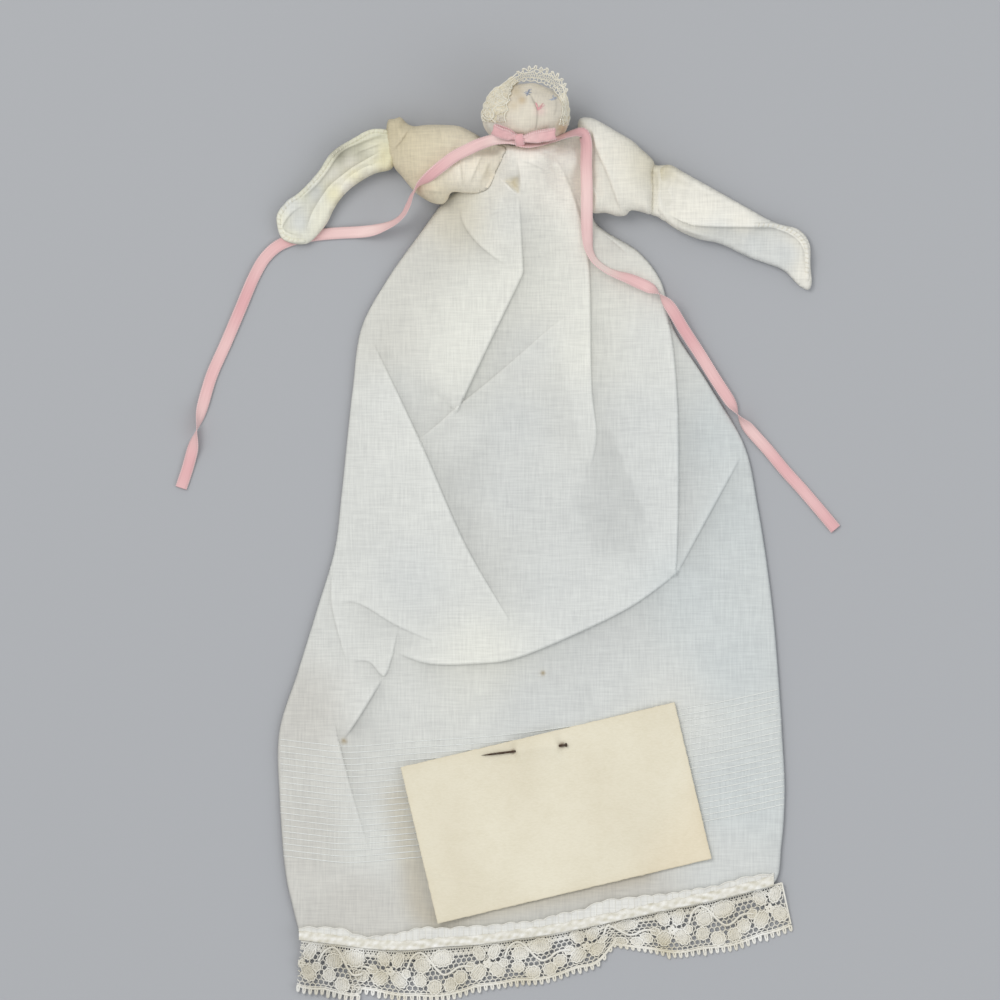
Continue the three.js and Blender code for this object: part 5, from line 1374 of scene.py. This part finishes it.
class DOLL_OT_stage(bpy.types.Operator):
    """Make the floor, the lights and the camera."""

    bl_idname = "doll.stage"
    bl_label = "Stage"

    def execute(self, context):
        settings = context.scene.doll_stage
        mesh = bpy.data.meshes.new("floor")
        half, low = FLOOR_HALF, FLOOR_Z
        corners = [(-half, -half, low), (half, -half, low), (half, half, low), (-half, half, low)]
        mesh.from_pydata(corners, [], [(0, 1, 2, 3)])
        material = bpy.data.materials.new("floor_paper")
        material.use_nodes = True
        shader = material.node_tree.nodes["Principled BSDF"]
        shader.inputs["Base Color"].default_value = (*settings.floor, 1)
        shader.inputs["Roughness"].default_value = 0.9
        mesh.materials.append(material)
        floor = bpy.data.objects.new("floor", mesh)
        context.collection.objects.link(floor)

        world = bpy.data.worlds.new("studio")
        world.use_nodes = True
        backdrop = world.node_tree.nodes["Background"]
        backdrop.inputs["Color"].default_value = (0.97, 0.985, 1.0, 1)
        backdrop.inputs["Strength"].default_value = settings.sky
        context.scene.world = world
        for name, light in LIGHTS.items():
            self.light(context, name, getattr(settings, name), *light)

        camera = bpy.data.cameras.new("camera")
        camera.sensor_width = VIEW_SENSOR
        camera.lens = VIEW_SENSOR * VIEW_DISTANCE / VIEW_WIDTH
        camera.clip_end = 20.0
        holder = bpy.data.objects.new("camera", camera)
        holder.location = (VIEW_MIDDLE[0] * MM, VIEW_MIDDLE[1] * MM, (VIEW_DISTANCE + SKIRT_TOP) * MM)
        context.collection.objects.link(holder)
        context.scene.camera = holder
        context.scene.view_settings.view_transform = "Standard"
        return {"FINISHED"}

    def light(self, context, name, power, place, size, colour):
        data = bpy.data.lights.new(name, "AREA")
        data.energy = power
        data.size = size
        data.color = colour
        lamp = bpy.data.objects.new(name, data)
        lamp.location = place
        lamp.rotation_euler = (-Vector(place)).to_track_quat("-Z", "Y").to_euler()
        context.collection.objects.link(lamp)


class DOLL_OT_ribbon(bpy.types.Operator):
    """Make the ribbon's two tails, from the bow's knot to their cut ends."""

    bl_idname = "doll.ribbon"
    bl_label = "Ribbon"

    def execute(self, context):
        settings = context.scene.doll_ribbon
        for name, route, seed, pale in RIBBONS:
            shape, uv, middle = ribbon_mesh(route, settings.width / MM, settings.thick / MM,
                                            settings.picot / MM)
            piece = new_piece(name, shape, "pink_satin", ribbon_tint(uv, seed, pale), uv)
            if name == "ribbon_right":
                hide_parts("ribbon_right_shoulder", "ribbon_right_tail")
                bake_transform(piece)
            else:
                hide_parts("ribbon_left_shoulder", "ribbon_left_tail")
                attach(piece, "skirt")
            length = np.linalg.norm(np.diff(middle, axis=0), axis=1).sum()
            [tuple(p) for p in middle[::8] * MM]
        return {"FINISHED"}


class DOLL_OT_skirt(bpy.types.Operator):
    """Make the skirt's front with its folds and woven cords, and the panels folded behind it."""

    bl_idname = "doll.skirt"
    bl_label = "Skirt"

    def execute(self, context):
        settings = context.scene.doll_skirt
        outline = spline(SKIRT_OUTLINE, SKIRT_STEP, closed=True)
        heading = unit(np.roll(outline, -1, 0) - np.roll(outline, 1, 0))
        inward = np.column_stack((-heading[:, 1], heading[:, 0]))
        rim = np.vstack([outline + inward * away for away in SKIRT_RIM])
        rows = np.vstack((rim, fold_points(SKIRT_FOLDS)))
        flat, faces = filled(outline, rows, settings.grid / MM)
        top = skirt_height(flat, settings.lift)
        tint = blended_tint(flat, SKIRT_TINTS)
        # Single cloth lets less light back; the folds add their layers' tones with painted highlights
        # and shadows
        tint = tint * (1 - single_share(flat) + 0.15 * fold_layers_and_shade(flat, SKIRT_FOLDS))[:, None]
        # Painted shade: the hollow below the neck is tinted a darker yellowish tone
        tint += 0.75 * pocket_share(flat)[:, None] * (linear(212, 198, 162) - tint)
        # Painted shadow of the card, soft and warm, along its left and lower edges
        card_shadow = np.exp(-(nearest(flat, spline(CARD_SHADOW_EDGE, 2.0))[0] / 5.0) ** 2)[:, None]
        tint = tint * (1 - card_shadow * np.array((0.14, 0.19, 0.27)))
        tint = spotted(tint, flat, SPECKS, 0.8)
        front = new_piece("skirt_front_cloth", (np.column_stack((flat, top)), faces), "lawn", tint)
        thicken(front)
        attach(front, "skirt")
        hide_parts("skirt_front")

        lines = []
        lowest = spline(CORD_LINE, 1.0)
        for k in range(settings.cords):
            line = lowest + (0.0, k * settings.cord_pitch / MM)
            line = line[inside(line, outline)]
            height = skirt_height(line, settings.lift)
            lines.append(strands(np.column_stack((line, height + 0.09))[None], 0.16, 6))
        cords = new_piece("skirt_cords", merged(lines), "white_thread", linear(238, 240, 237))
        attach(cords, "skirt")
        for name, sign in (("skirt_back_right", -1), ("skirt_back_left", 1)):
            self.back_panel(name, sign, outline)
        return {"FINISHED"}

    def back_panel(self, name, sign, outline):
        """One side of the handkerchief, folded behind the front and lying on the table."""
        middle = outline.mean(0)[0]
        low, high = BACK_SPAN
        inner = outline[(outline[:, 1] < high) & (outline[:, 1] > low)]
        part = inner[sign * (inner[:, 0] - middle) > 6]
        away = sign * (2.2 + 0.3 * np.sin((part[:, 1] - low) / (high - low) * math.pi))
        edge = np.column_stack((part[:, 0] - away, part[:, 1]))
        edge = edge[np.argsort(edge[:, 1])]
        back = np.linspace(edge[-1, 1], edge[0, 1], 120)
        seam = np.column_stack((middle + sign * 1.2 + 0.6 * np.sin(back / 17.0), back))
        ring = np.vstack((edge, seam))
        flat, faces = filled(ring, np.empty((0, 2)), 3.0)
        height = BACK_Z + 0.10 * ripple(flat, 21.0, 40 + sign) + 0.05 * ripple(flat, 7.0, 42 + sign)
        tint = blended_tint(flat, SKIRT_TINTS) * 0.97
        panel = new_piece(name + "_cloth", (np.column_stack((flat, height)), faces), "lawn", tint)
        thicken(panel)
        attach(panel, "skirt")
        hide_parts(name)


class DOLL_OT_lace(bpy.types.Operator):
    """Make the lace edging, thread by thread, and its ruffled heading."""

    bl_idname = "doll.lace"
    bl_label = "Lace"

    def execute(self, context):
        settings = context.scene.doll_lace
        parts = []
        for stretch in LACE_STRETCHES:
            parts += lace_parts(stretch, settings.net / MM, settings.thread / MM)
        points, faces = merged(parts)
        shade = 0.5 + 0.5 * ripple(points, 13.0, 50)
        tint = between((234, 229, 214), (249, 247, 240), shade)
        tint = tint * (1 - 0.10 * smooth((-58 - points[:, :1]) / 8))
        lace = new_piece("lace_hem_threads", (points, faces), "cotton_lace", tint)
        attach(lace, "skirt")
        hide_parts("lace_hem")
        trim = [lace, *self.heading()]
        return {"FINISHED"}

    def heading(self):
        """The dense band over the seam and the thin ruffle above it with its corded edge."""
        ruffle = spline(RUFFLE_TOP, 0.4)
        seam = spline(LACE_SEAM, 0.4)
        x = np.arange(-77.2, 73.2, 0.4)
        top = np.interp(x, ruffle[:, 0], ruffle[:, 1])
        low = np.interp(x, seam[:, 0], seam[:, 1])
        scallop = 0.55 * np.abs(np.sin(x / 1.5 + 0.8 * np.sin(x / 7.0)))
        top = top + (scallop + 0.25 * ripple(np.column_stack((x, top)), 9.0, 51))
        band_top = low + 3.0 + 0.18 * ripple(np.column_stack((x, low)), 5.0, 52)
        share = np.linspace(0, 1, 9)

        def across(first, second):
            y = first[:, None] + (second - first)[:, None] * share
            return np.stack((np.broadcast_to(x[:, None], y.shape), y), -1)

        flat = across(low, band_top)
        rough = 0.05 * ripple(flat.reshape(-1, 2), 1.1, 53) + 0.04 * ripple(flat.reshape(-1, 2), 5.0, 54)
        z = HEADING_Z + 0.18 * np.sin(math.pi * share)[None] + rough.reshape(len(x), -1)
        upper = np.concatenate((flat, z[..., None]), -1)
        points, faces = closed_strip(upper, upper - 0.5 * UP)
        tint = between((224, 220, 206), (245, 243, 236), 0.5 + 0.5 * ripple(points, 2.2, 55))
        band = new_piece("lace_heading_band", (points, faces), "cotton_lace", tint)

        flutes = 0.28 * np.sin(x / 1.1 + 1.5 * np.sin(x / 9.0))
        z = RUFFLE_Z + share[None] ** 1.5 * (0.35 + flutes[:, None])
        frill = np.concatenate((across(band_top - 0.2, top), z[..., None]), -1)
        ruffled = new_piece("lace_heading_ruffle", closed_strip(frill, frill - 0.12 * UP), "lawn",
                            linear(238, 237, 231))
        edge = strands((frill[:, -1] + 0.02 * UP)[None], 0.19, 5)
        ribs = strands(frill[::5, 1:] + 0.03 * UP, 0.08, 4)
        cord = new_piece("lace_heading_edge", merged((edge, ribs)), "cotton_lace", linear(240, 238, 230))
        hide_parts("lace_heading")
        for piece in (band, ruffled, cord):
            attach(piece, "skirt")
        return band, ruffled, cord


class DOLL_OT_head(bpy.types.Operator):
    """Make the stuffed head with its stitched face, the lace cap and the tied neck."""

    bl_idname = "doll.head"
    bl_label = "Head"

    def execute(self, context):
        turn = np.linspace(0, 2 * math.pi, 288, endpoint=False)
        tilt = np.linspace(0.03, math.pi - 0.37, 120)
        points, faces = closed_tube(head_point(turn[None], tilt[:, None]))
        front = points[:, 2] > HEAD[2]
        crease = np.zeros(len(points))
        for line, share in FACE_CREASES:
            gap = nearest(points[:, :2], spline(line, 0.5))[0]
            crease = np.maximum(crease, np.where(front, share * np.exp(-(gap / 0.3) ** 2), 0.0))
        out = unit((points - HEAD) / np.array((HEAD_R, HEAD_HALF, HEAD_R)) ** 2)
        lumps = 0.22 * ripple(points[:, [0, 1]] + points[:, [2, 2]] * 0.7, 8.0, 60)
        points = points + out * (lumps - 0.16 * crease)[:, None]
        tint = np.broadcast_to(linear(231, 223, 206), points.shape)
        tint = spotted(tint, points[:, :2], FACE_DISCOLOUR_AND_SHADE, 0.75, front)
        # Painted shade darkens each crease, fading out towards the eyes
        tint = tint * (1 - 0.40 * crease * smooth((139.5 - points[:, 1]) / 3))[:, None]
        head = new_piece("head_cloth", (points, faces), "face_cloth", tint)
        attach(head, "head")
        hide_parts("head_cover", "head_stuffing")
        self.stitches()
        self.cap()
        self.neck()
        return {"FINISHED"}

    def stitches(self):
        """Eyes of crossing stitches and a mouth of satin stitches in a V."""
        random = np.random.default_rng(61)
        for name, (x, y) in (("right_eye", RIGHT_EYE), ("left_eye", LEFT_EYE)):
            threads = []
            for k in range(6):
                angle = (k % 4) * math.pi / 4 + random.uniform(-0.4, 0.4)
                reach = random.uniform(0.5, 1.3) * np.array((math.cos(angle), math.sin(angle)))
                middle = (x, y) + random.uniform(-0.3, 0.3, 2)
                threads.append(stitch(middle - reach, middle + reach, 0.16 + 0.03 * k))
            self.sew(name, threads, 0.10, "blue_thread", ((150, 160, 180), (200, 206, 216)), random)
        threads = []
        for k in range(4):
            share = k / 3
            low = (MOUTH[0] - 0.35 + 0.1 * random.uniform(-1, 1), MOUTH[1] - 1.0 + 0.5 * share)
            for end in ((-1.15 + 0.45 * share, 1.15), (1.35 - 0.5 * share, 0.95)):
                threads.append(stitch(low, np.add(MOUTH, end) + random.uniform(-0.42, 0.42, 2), 0.22))
        self.sew("mouth", threads, 0.11, "pink_thread", ((232, 162, 168), (244, 200, 200)), random)

    def sew(self, name, threads, radius, look, tones, random):
        """One embroidered piece of the face, each stitch in its own tone."""
        points, faces = strands(threads, radius, 6)
        tone = np.repeat(random.uniform(0, 1, len(threads)), len(points) // len(threads))
        piece = new_piece(name + "_thread", (points, faces), look, between(*tones, tone))
        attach(piece, "head")
        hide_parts(name)

    def cap(self):
        """Narrow lace round the face: laid flat at the sides, a free openwork frill at the top."""
        place, length = cap_map()
        b = np.linspace(0.0, 1.0, 14)
        start, stop = CAP_FRILL
        sides = []
        for first, last in ((0.0, start + 0.03), (stop - 0.02, 1.0)):
            a = np.linspace(first, last, 60)
            end = np.minimum(a, 1 - a) * length
            sink = 0.5 * (1 - smooth((end[:, None] - 1.2 * np.sin(b * 9)[None]) / 2.4))
            sink = sink + 0.3 * (1 - smooth(b / 0.12))[None]
            layers = [place(a[:, None], b[None], -drop - sink) for drop in (0.0, 0.16)]
            sides.append(closed_strip(*layers))
        points, faces = merged(sides)
        tint = between((222, 212, 186), (238, 231, 212), 0.5 + 0.5 * ripple(points, 2.0, 62))
        ground = new_piece("lace_cap_ground", (points, faces), "cotton_lace", tint)

        parts = []

        def cord(line, share, radius, lift=0.0):
            parts.append(strands(place(line, share, lift)[None], radius, 5))

        def openwork(threads, wide, radius, lift=0.0, sides=4):
            spots = place(threads[..., 0] / length, threads[..., 1] / wide, lift)
            parts.append(strands(spots, radius, sides))

        for first, last, wide in ((0.0, start, 8.0), (stop, 1.0, 3.0)):
            openwork(net_edges(first * length, last * length, 0.1, wide, 1.15), wide, 0.10, 0.02)
            line = np.linspace(first, last, 160)
            for share in (0.01, 0.99):
                cord(line, share, 0.15, 0.04)
            cord(line, 0.30 + 0.16 * np.sin(line * length / 1.35), 0.17, 0.06)
            cord(line, 0.72 + 0.12 * np.sin(line * length / 0.9), 0.13, 0.05)
            turn = np.linspace(0, 2 * math.pi, 40)
            for k, at in enumerate(np.arange(first * length + 2.2, last * length - 1.0, 3.6)):
                high = 0.42 + 0.16 * (-1) ** k
                for size in (1.0, 0.55):
                    scroll = at + 1.5 * size * np.cos(turn) + 0.5 * np.sin(turn)
                    cord(scroll / length, high + 0.24 * size * np.sin(turn), 0.17, 0.10)
        deep = 4.6
        first, last = start * length, stop * length
        openwork(net_edges(first, last, 0.24 * deep, 0.64 * deep, 0.78), deep, 0.13)
        line = np.linspace(start - 0.01, stop + 0.01, 240)
        for share, radius in ((0.02, 0.16), (0.20, 0.15), (0.68, 0.17), (0.84, 0.20)):
            cord(line, share, radius)
        for pitch, low, high in ((1.5, 0.02, 0.20), (1.9, 0.68, 0.84)):
            at = np.arange(first, last, pitch)[:, None] / length
            parts.append(strands(place(at, np.linspace(low, high, 4)[None]), 0.16, 5))
        teeth = np.arange(first + 4.0, last, PICOT_PITCH)
        roots = np.stack((teeth, np.full(len(teeth), 0.84 * deep)), -1)
        picots = np.array(CAP_PICOT)[None] + roots[:, None]
        openwork(picots, deep, 0.24, 0.0, 5)
        threads = new_piece("lace_cap_threads", merged(parts), "cotton_lace", linear(242, 238, 224))
        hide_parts("lace_cap")
        for piece in (ground, threads):
            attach(piece, "head")
        rows = place(np.linspace(0.0, start, 30)[:, None], b[None])
        wide = np.linalg.norm(np.diff(rows, axis=1), axis=2).sum(1).max() * MM

    def neck(self):
        """Gathered cloth at the neck, the thread wound round it and the ribbon band over both."""
        def around(reach, y, turn):
            spots = np.broadcast_arrays(NECK[0] + reach * np.cos(turn), y, NECK_Z + reach * np.sin(turn))
            return np.stack(spots, -1)

        turn = np.linspace(0, 2 * math.pi, 120, endpoint=False)
        y = np.linspace(113.8, 121.6, 12)
        reach = np.interp(y, (113.8, 116.5, BAND_Y, 121.6), (6.3, 5.9, 4.9, 5.6))
        flute = 0.30 * np.sin(16 * turn) + 0.2 * np.sin(27 * turn + 0.7)
        tube = closed_tube(around(reach[:, None] + flute, y[:, None], turn))
        gather = new_piece("neck_gather_cloth", tube, "lawn_aged", linear(226, 220, 204))
        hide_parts("neck_gather")

        wound = np.linspace(0, 6 * math.pi, 150)
        helix = strands(around(5.5, BAND_Y + 0.12 + wound * 0.025, wound)[None], 0.22, 6)
        thread = new_piece("neck_thread_wound", helix, "white_thread", linear(236, 231, 220))
        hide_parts("neck_thread")

        turn = np.linspace(0, 2 * math.pi, 150)[:, None]
        share = RIBBON_SHARE
        reach = 6.35 + 0.18 * np.sin(5 * turn) + 0.12 * (1 - share ** 2)
        strip = around(reach, BAND_Y + 1.95 * share + 0.35 * np.sin(turn), turn)
        out = 0.14 * np.stack((np.cos(turn), np.zeros(turn.shape), np.sin(turn)), -1)
        uv = strip_uv(share, 2.0, turn[:, 0] * 6.4)
        band = new_piece("neck_ribbon_band", closed_strip(strip + out, strip - out), "pink_satin",
                         ribbon_tint(uv, 13), uv)
        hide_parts("neck_ribbon")
        for piece in (gather, thread, band):
            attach(piece, "skirt")


class DOLL_OT_bow(bpy.types.Operator):
    """Make the bow's knot and its two loops."""

    bl_idname = "doll.bow"
    bl_label = "Bow"

    def execute(self, context):
        settings = context.scene.doll_ribbon
        width, thick = settings.width / MM, settings.thick / MM
        lean = math.radians(BOW_LEAN)
        across = np.array((0.0, math.cos(lean), math.sin(lean)))
        for name, root, heading, length, tip, tall in BOW_LOOPS:
            angle, tip = math.radians(heading), math.radians(tip)
            run = np.array((math.cos(angle), math.sin(angle), 0.0))
            side = np.array((0.0, math.cos(tip), math.sin(tip)))
            side = unit(side - run * np.dot(side, run))
            lift = np.cross(run, side)
            lift = lift * tall / LOOP_TOP * (1 if lift[2] > 0 else -1)
            line = spline(np.array(LOOP_PATH) * (length, 1.0), RIBBON_STEP)
            middle = np.array(root) + line[:, :1] * run + line[:, 1:2] * lift
            step = unit(np.gradient(line, axis=0))
            face = -step[:, 1:2] * run + step[:, :1] * lift
            share = RIBBON_SHARE
            lengths = np.arange(len(line)) * RIBBON_STEP
            pinch = 0.55 + 0.45 * smooth(line[:, 0] / (0.45 * length))
            tooth = settings.picot / MM * (np.arange(len(line)) % 2)
            reach = width / 2 * pinch[:, None] + np.where(np.abs(share) > 0.99, tooth[:, None], 0)
            spots = np.stack(np.broadcast_arrays(lengths[:, None], share[None] * 2), -1)
            bow = 0.25 * (1 - pinch)[:, None] * np.cos(share * 6)[None]
            bow = bow + 0.14 * ripple(spots.reshape(-1, 2), 1.8, 16).reshape(bow.shape)
            place = middle[:, None] + side * (share * reach)[..., None] + face[:, None] * bow[..., None]
            out = face[:, None] * thick / 2
            uv = strip_uv(share, width / 2, lengths)
            loop = new_piece(name + "_satin", closed_strip(place + out, place - out), "pink_satin",
                             ribbon_tint(uv, 14), uv)
            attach(loop, "skirt")
            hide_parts(name)

        turn = np.linspace(0, 2 * math.pi, 90)
        share = RIBBON_SHARE
        flat = np.column_stack((1.75 * np.cos(turn), 1.15 * np.sin(turn)))
        run = np.array((math.cos(0.15), math.sin(0.15), 0.0))
        plane_x = unit(across - run * np.dot(across, run))
        plane_z = np.cross(run, plane_x)
        swell = 1 + 0.14 * (1 - share ** 2) + 0.05 * np.sin(turn * 3 + 0.6)[:, None] * share[None]
        place = (np.array(BOW_KNOT) + plane_x * (flat[:, :1] * swell)[..., None]
                 + plane_z * (flat[:, 1:] * swell)[..., None] + run * (share * 1.45)[None, :, None])
        out = unit(plane_x * flat[:, None, :1] + plane_z * flat[:, None, 1:]) * 0.12
        uv = strip_uv(share, 2.0, turn * 1.6)
        knot = new_piece("bow_knot_satin", closed_strip(place + out, place - out), "pink_satin",
                         ribbon_tint(uv, 15), uv)
        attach(knot, "skirt")
        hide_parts("bow_knot")
        return {"FINISHED"}


class DOLL_OT_arms(bpy.types.Operator):
    """Make the puffed sleeves, the knots that close them and the hands with their rolled hems."""

    bl_idname = "doll.arms"
    bl_label = "Arms"

    def execute(self, context):
        pitch = context.scene.doll_arms.grid / MM
        self.padded_piece(("right_sleeve", "right_knot"), RIGHT_SLEEVE_OUTLINE, RIGHT_SLEEVE_FOLDS,
                          pitch, RIGHT_SLEEVE_TINTS, self.right_height, 0.34, 9.0, 70,
                          ("skirt", "right_arm", (-13.5, 119.0, 8.0), (-23.0, 118.0, 8.0)))
        self.padded_piece(("left_sleeve",), LEFT_SLEEVE_OUTLINE, LEFT_SLEEVE_FOLDS, pitch,
                          LEFT_ARM_TINTS, 8.4, 0.36, 8.5, 72,
                          ("skirt", "left_arm", (12.0, 116.0, 6.0), (19.0, 114.0, 6.0)))
        self.padded_piece(("left_knot",), LEFT_KNOT_OUTLINE, LEFT_KNOT_FOLDS, pitch * 0.8,
                          LEFT_ARM_TINTS, 4.6, 0.38, 4.0, 76, ("left_arm",))
        self.hand("right_hand", RIGHT_HAND_OUTLINE, RIGHT_HAND_FOLDS, RIGHT_HAND_HEM, pitch,
                  RIGHT_HAND_TINTS, ((-49, 122), (-80, 95), 5.6, 1.8), "lawn_yellowed", 78,
                  ("right_arm", "right_hand", (-47.0, 121.3, 5.0), (-53.0, 120.4, 5.0)), (0.048, 0.017))
        self.hand("left_hand", LEFT_HAND_OUTLINE, LEFT_HAND_FOLDS, LEFT_HAND_HEM, pitch,
                  LEFT_ARM_TINTS, ((40, 107), (83, 81), 5.2, 1.4), "lawn_aged", 80,
                  ("left_arm", "left_hand", (38.0, 107.6, 5.0), (44.0, 104.6, 5.0)), (0.056, 0.018))
        return {"FINISHED"}

    def right_height(self, points):
        """The puff's height, lower towards the wrap that closes it."""
        return 13.4 - 2.8 * smooth((-38.0 - points[:, 0]) / 8)

    def follow(self, piece, bodies):
        """Rides a piece on one body; between two bodies, it is left unparented where it lies."""
        if len(bodies) == 1:
            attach(piece, bodies[0])
        else:
            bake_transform(piece)

    def padded_piece(self, nodes, outline, folds, pitch, tints, height, rim, reach, seed, bodies):
        """A stuffed section of an arm, clear of the skirt under it."""
        shape, flat = puffed(outline, folds, pitch, ARM_Z, height, rim, reach, seed, skirt_height)
        # The folds' layer tones with painted highlights and shadows
        tint = blended_tint(flat, tints) * (1 + 0.11 * fold_layers_and_shade(flat, folds))[:, None]
        piece = new_piece(nodes[0] + "_cloth", shape, "lawn_aged", tint)
        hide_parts(*nodes)
        self.follow(piece, bodies)

    def hand(self, name, outline, folds, hem, pitch, tints, slope, slot, seed, bodies, flat_size):
        """A flat corner of the cloth past its knot, with its rolled and stitched hem."""
        start, end, tall, low = slope
        run = np.array(end, float) - start

        def share(points):
            return np.clip(((points - start) @ run) / (run @ run), 0, 1)

        def height(points):
            return tall + (low - tall) * share(points) ** 0.8

        def floor(points):
            return ARM_Z + (HAND_TIP_Z - ARM_Z) * share(points)

        shape, flat = puffed(outline, folds, pitch * 0.8, floor, height, 0.3, 2.2, seed, None, 0.18)
        # The folds' layer tones with painted highlights and shadows
        tint = blended_tint(flat, tints, HAND_SOFT) * (1 + 0.24 * fold_layers_and_shade(flat, folds))[:, None]
        piece = new_piece(name + "_cloth", shape, slot, tint)
        roll, stitches = hem_roll(hem, shape[0], seed + 1)
        hem_tint = blended_tint(roll[0][:, :2], tints, HAND_SOFT) * 1.03
        rolled = new_piece(name + "_hem", roll, slot, hem_tint)
        sewn = new_piece(name + "_stitches", stitches, "white_thread", linear(238, 233, 216))
        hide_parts(name)
        for part in (piece, rolled, sewn):
            self.follow(part, bodies)


class DOLL_OT_card(bpy.types.Operator):
    """Make the bare card, bent over the pin that holds it, and give the pin its finish."""

    bl_idname = "doll.card"
    bl_label = "Card"

    def execute(self, context):
        settings = context.scene.doll_card
        wide, high, thick = settings.width / MM, settings.height / MM, settings.thick / MM
        a = np.linspace(-wide / 2, wide / 2, 200)
        b = np.linspace(-high / 2, high / 2, 115)
        grid_a, grid_b = np.meshgrid(a, b, indexing="ij")
        flat = np.stack((grid_a, grid_b), -1).reshape(-1, 2)
        fray = 0.10 * ripple(flat, 2.6, 90) + 0.06 * ripple(flat, 0.9, 91)
        edge = np.minimum(wide / 2 - np.abs(flat[:, 0]), high / 2 - np.abs(flat[:, 1]))
        scale = 1 + np.where(edge < 0.3, fray, 0)[:, None] / np.array((wide, high))
        turn = math.radians(CARD_TURN)
        spin = np.array(((math.cos(turn), math.sin(turn)), (-math.sin(turn), math.cos(turn))))
        place = (flat * scale) @ spin + CARD_MIDDLE
        rise = CARD_Z + card_height(flat[:, 0], flat[:, 1]) + 0.05 * ripple(flat, 22.0, 92)
        crease = nearest(flat, np.array(CARD_CREASE))[0]
        rise = rise + 0.16 * np.exp(-(crease / 0.55) ** 2)
        lower = np.column_stack((place, rise)).reshape(len(a), len(b), 3)
        tint = np.broadcast_to(linear(233, 226, 205), (len(flat), 3)).copy()
        mottle = 0.5 + 0.5 * ripple(flat, 30.0, 93)
        tint += (mottle[:, None] - 0.5) * (linear(234, 227, 206) - linear(229, 221, 199))
        warm = smooth((flat[:, :1] - flat[:, 1:] - 34) / 26)
        tint += 0.5 * warm * (linear(232, 217, 188) - tint)
        rim = np.exp(-edge / 1.4)[:, None]
        tint += 0.22 * rim * (linear(214, 199, 168) - tint)
        tint = spotted(tint, flat, PIN_RUST, 0.9)
        ring = tint.reshape(len(a), len(b), 3)
        tint = np.concatenate((ring, ring[:, ::-1]), axis=1).reshape(-1, 3)
        card = new_piece("card_paper", closed_strip(lower + thick * UP, lower), "aged_card", tint)
        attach(card, "card")
        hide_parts("card")
        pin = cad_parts["straight_pin"]
        pin.data.materials.clear()
        pin.data.materials.append(finish("old_steel"))
        return {"FINISHED"}


class DOLL_PT_panel(bpy.types.Panel):
    """Sizes of the doll's pieces, with a button for each step."""

    bl_idname = "DOLL_PT_panel"
    bl_label = "Handkerchief doll"
    bl_space_type = "VIEW_3D"
    bl_region_type = "UI"
    bl_category = "Doll"

    def draw(self, context):
        for attribute, kind in SETTINGS.items():
            settings = getattr(context.scene, attribute)
            for title in kind.__annotations__:
                self.layout.prop(settings, title)
        for kind in OPERATORS:
            self.layout.operator(kind.bl_idname)


SETTINGS = {
    "doll_stage": DollStageSettings,
    "doll_ribbon": DollRibbonSettings,
    "doll_skirt": DollSkirtSettings,
    "doll_lace": DollLaceSettings,
    "doll_arms": DollArmsSettings,
    "doll_card": DollCardSettings,
}
OPERATORS = (DOLL_OT_stage, DOLL_OT_ribbon, DOLL_OT_skirt, DOLL_OT_lace, DOLL_OT_head, DOLL_OT_bow,
             DOLL_OT_arms, DOLL_OT_card)
CLASSES = (*SETTINGS.values(), *OPERATORS, DOLL_PT_panel)


def register():
    for kind in CLASSES:
        bpy.utils.register_class(kind)
    for attribute, kind in SETTINGS.items():
        setattr(bpy.types.Scene, attribute, PointerProperty(type=kind))


def unregister():
    for attribute in SETTINGS:
        delattr(bpy.types.Scene, attribute)
    for kind in reversed(CLASSES):
        bpy.utils.unregister_class(kind)


def main():
    register()
    bpy.ops.doll.stage()
    bpy.ops.doll.ribbon()
    bpy.ops.doll.skirt()
    bpy.ops.doll.lace()
    bpy.ops.doll.head()
    bpy.ops.doll.bow()
    bpy.ops.doll.arms()
    bpy.ops.doll.card()


if __name__ == "__main__":
    main()
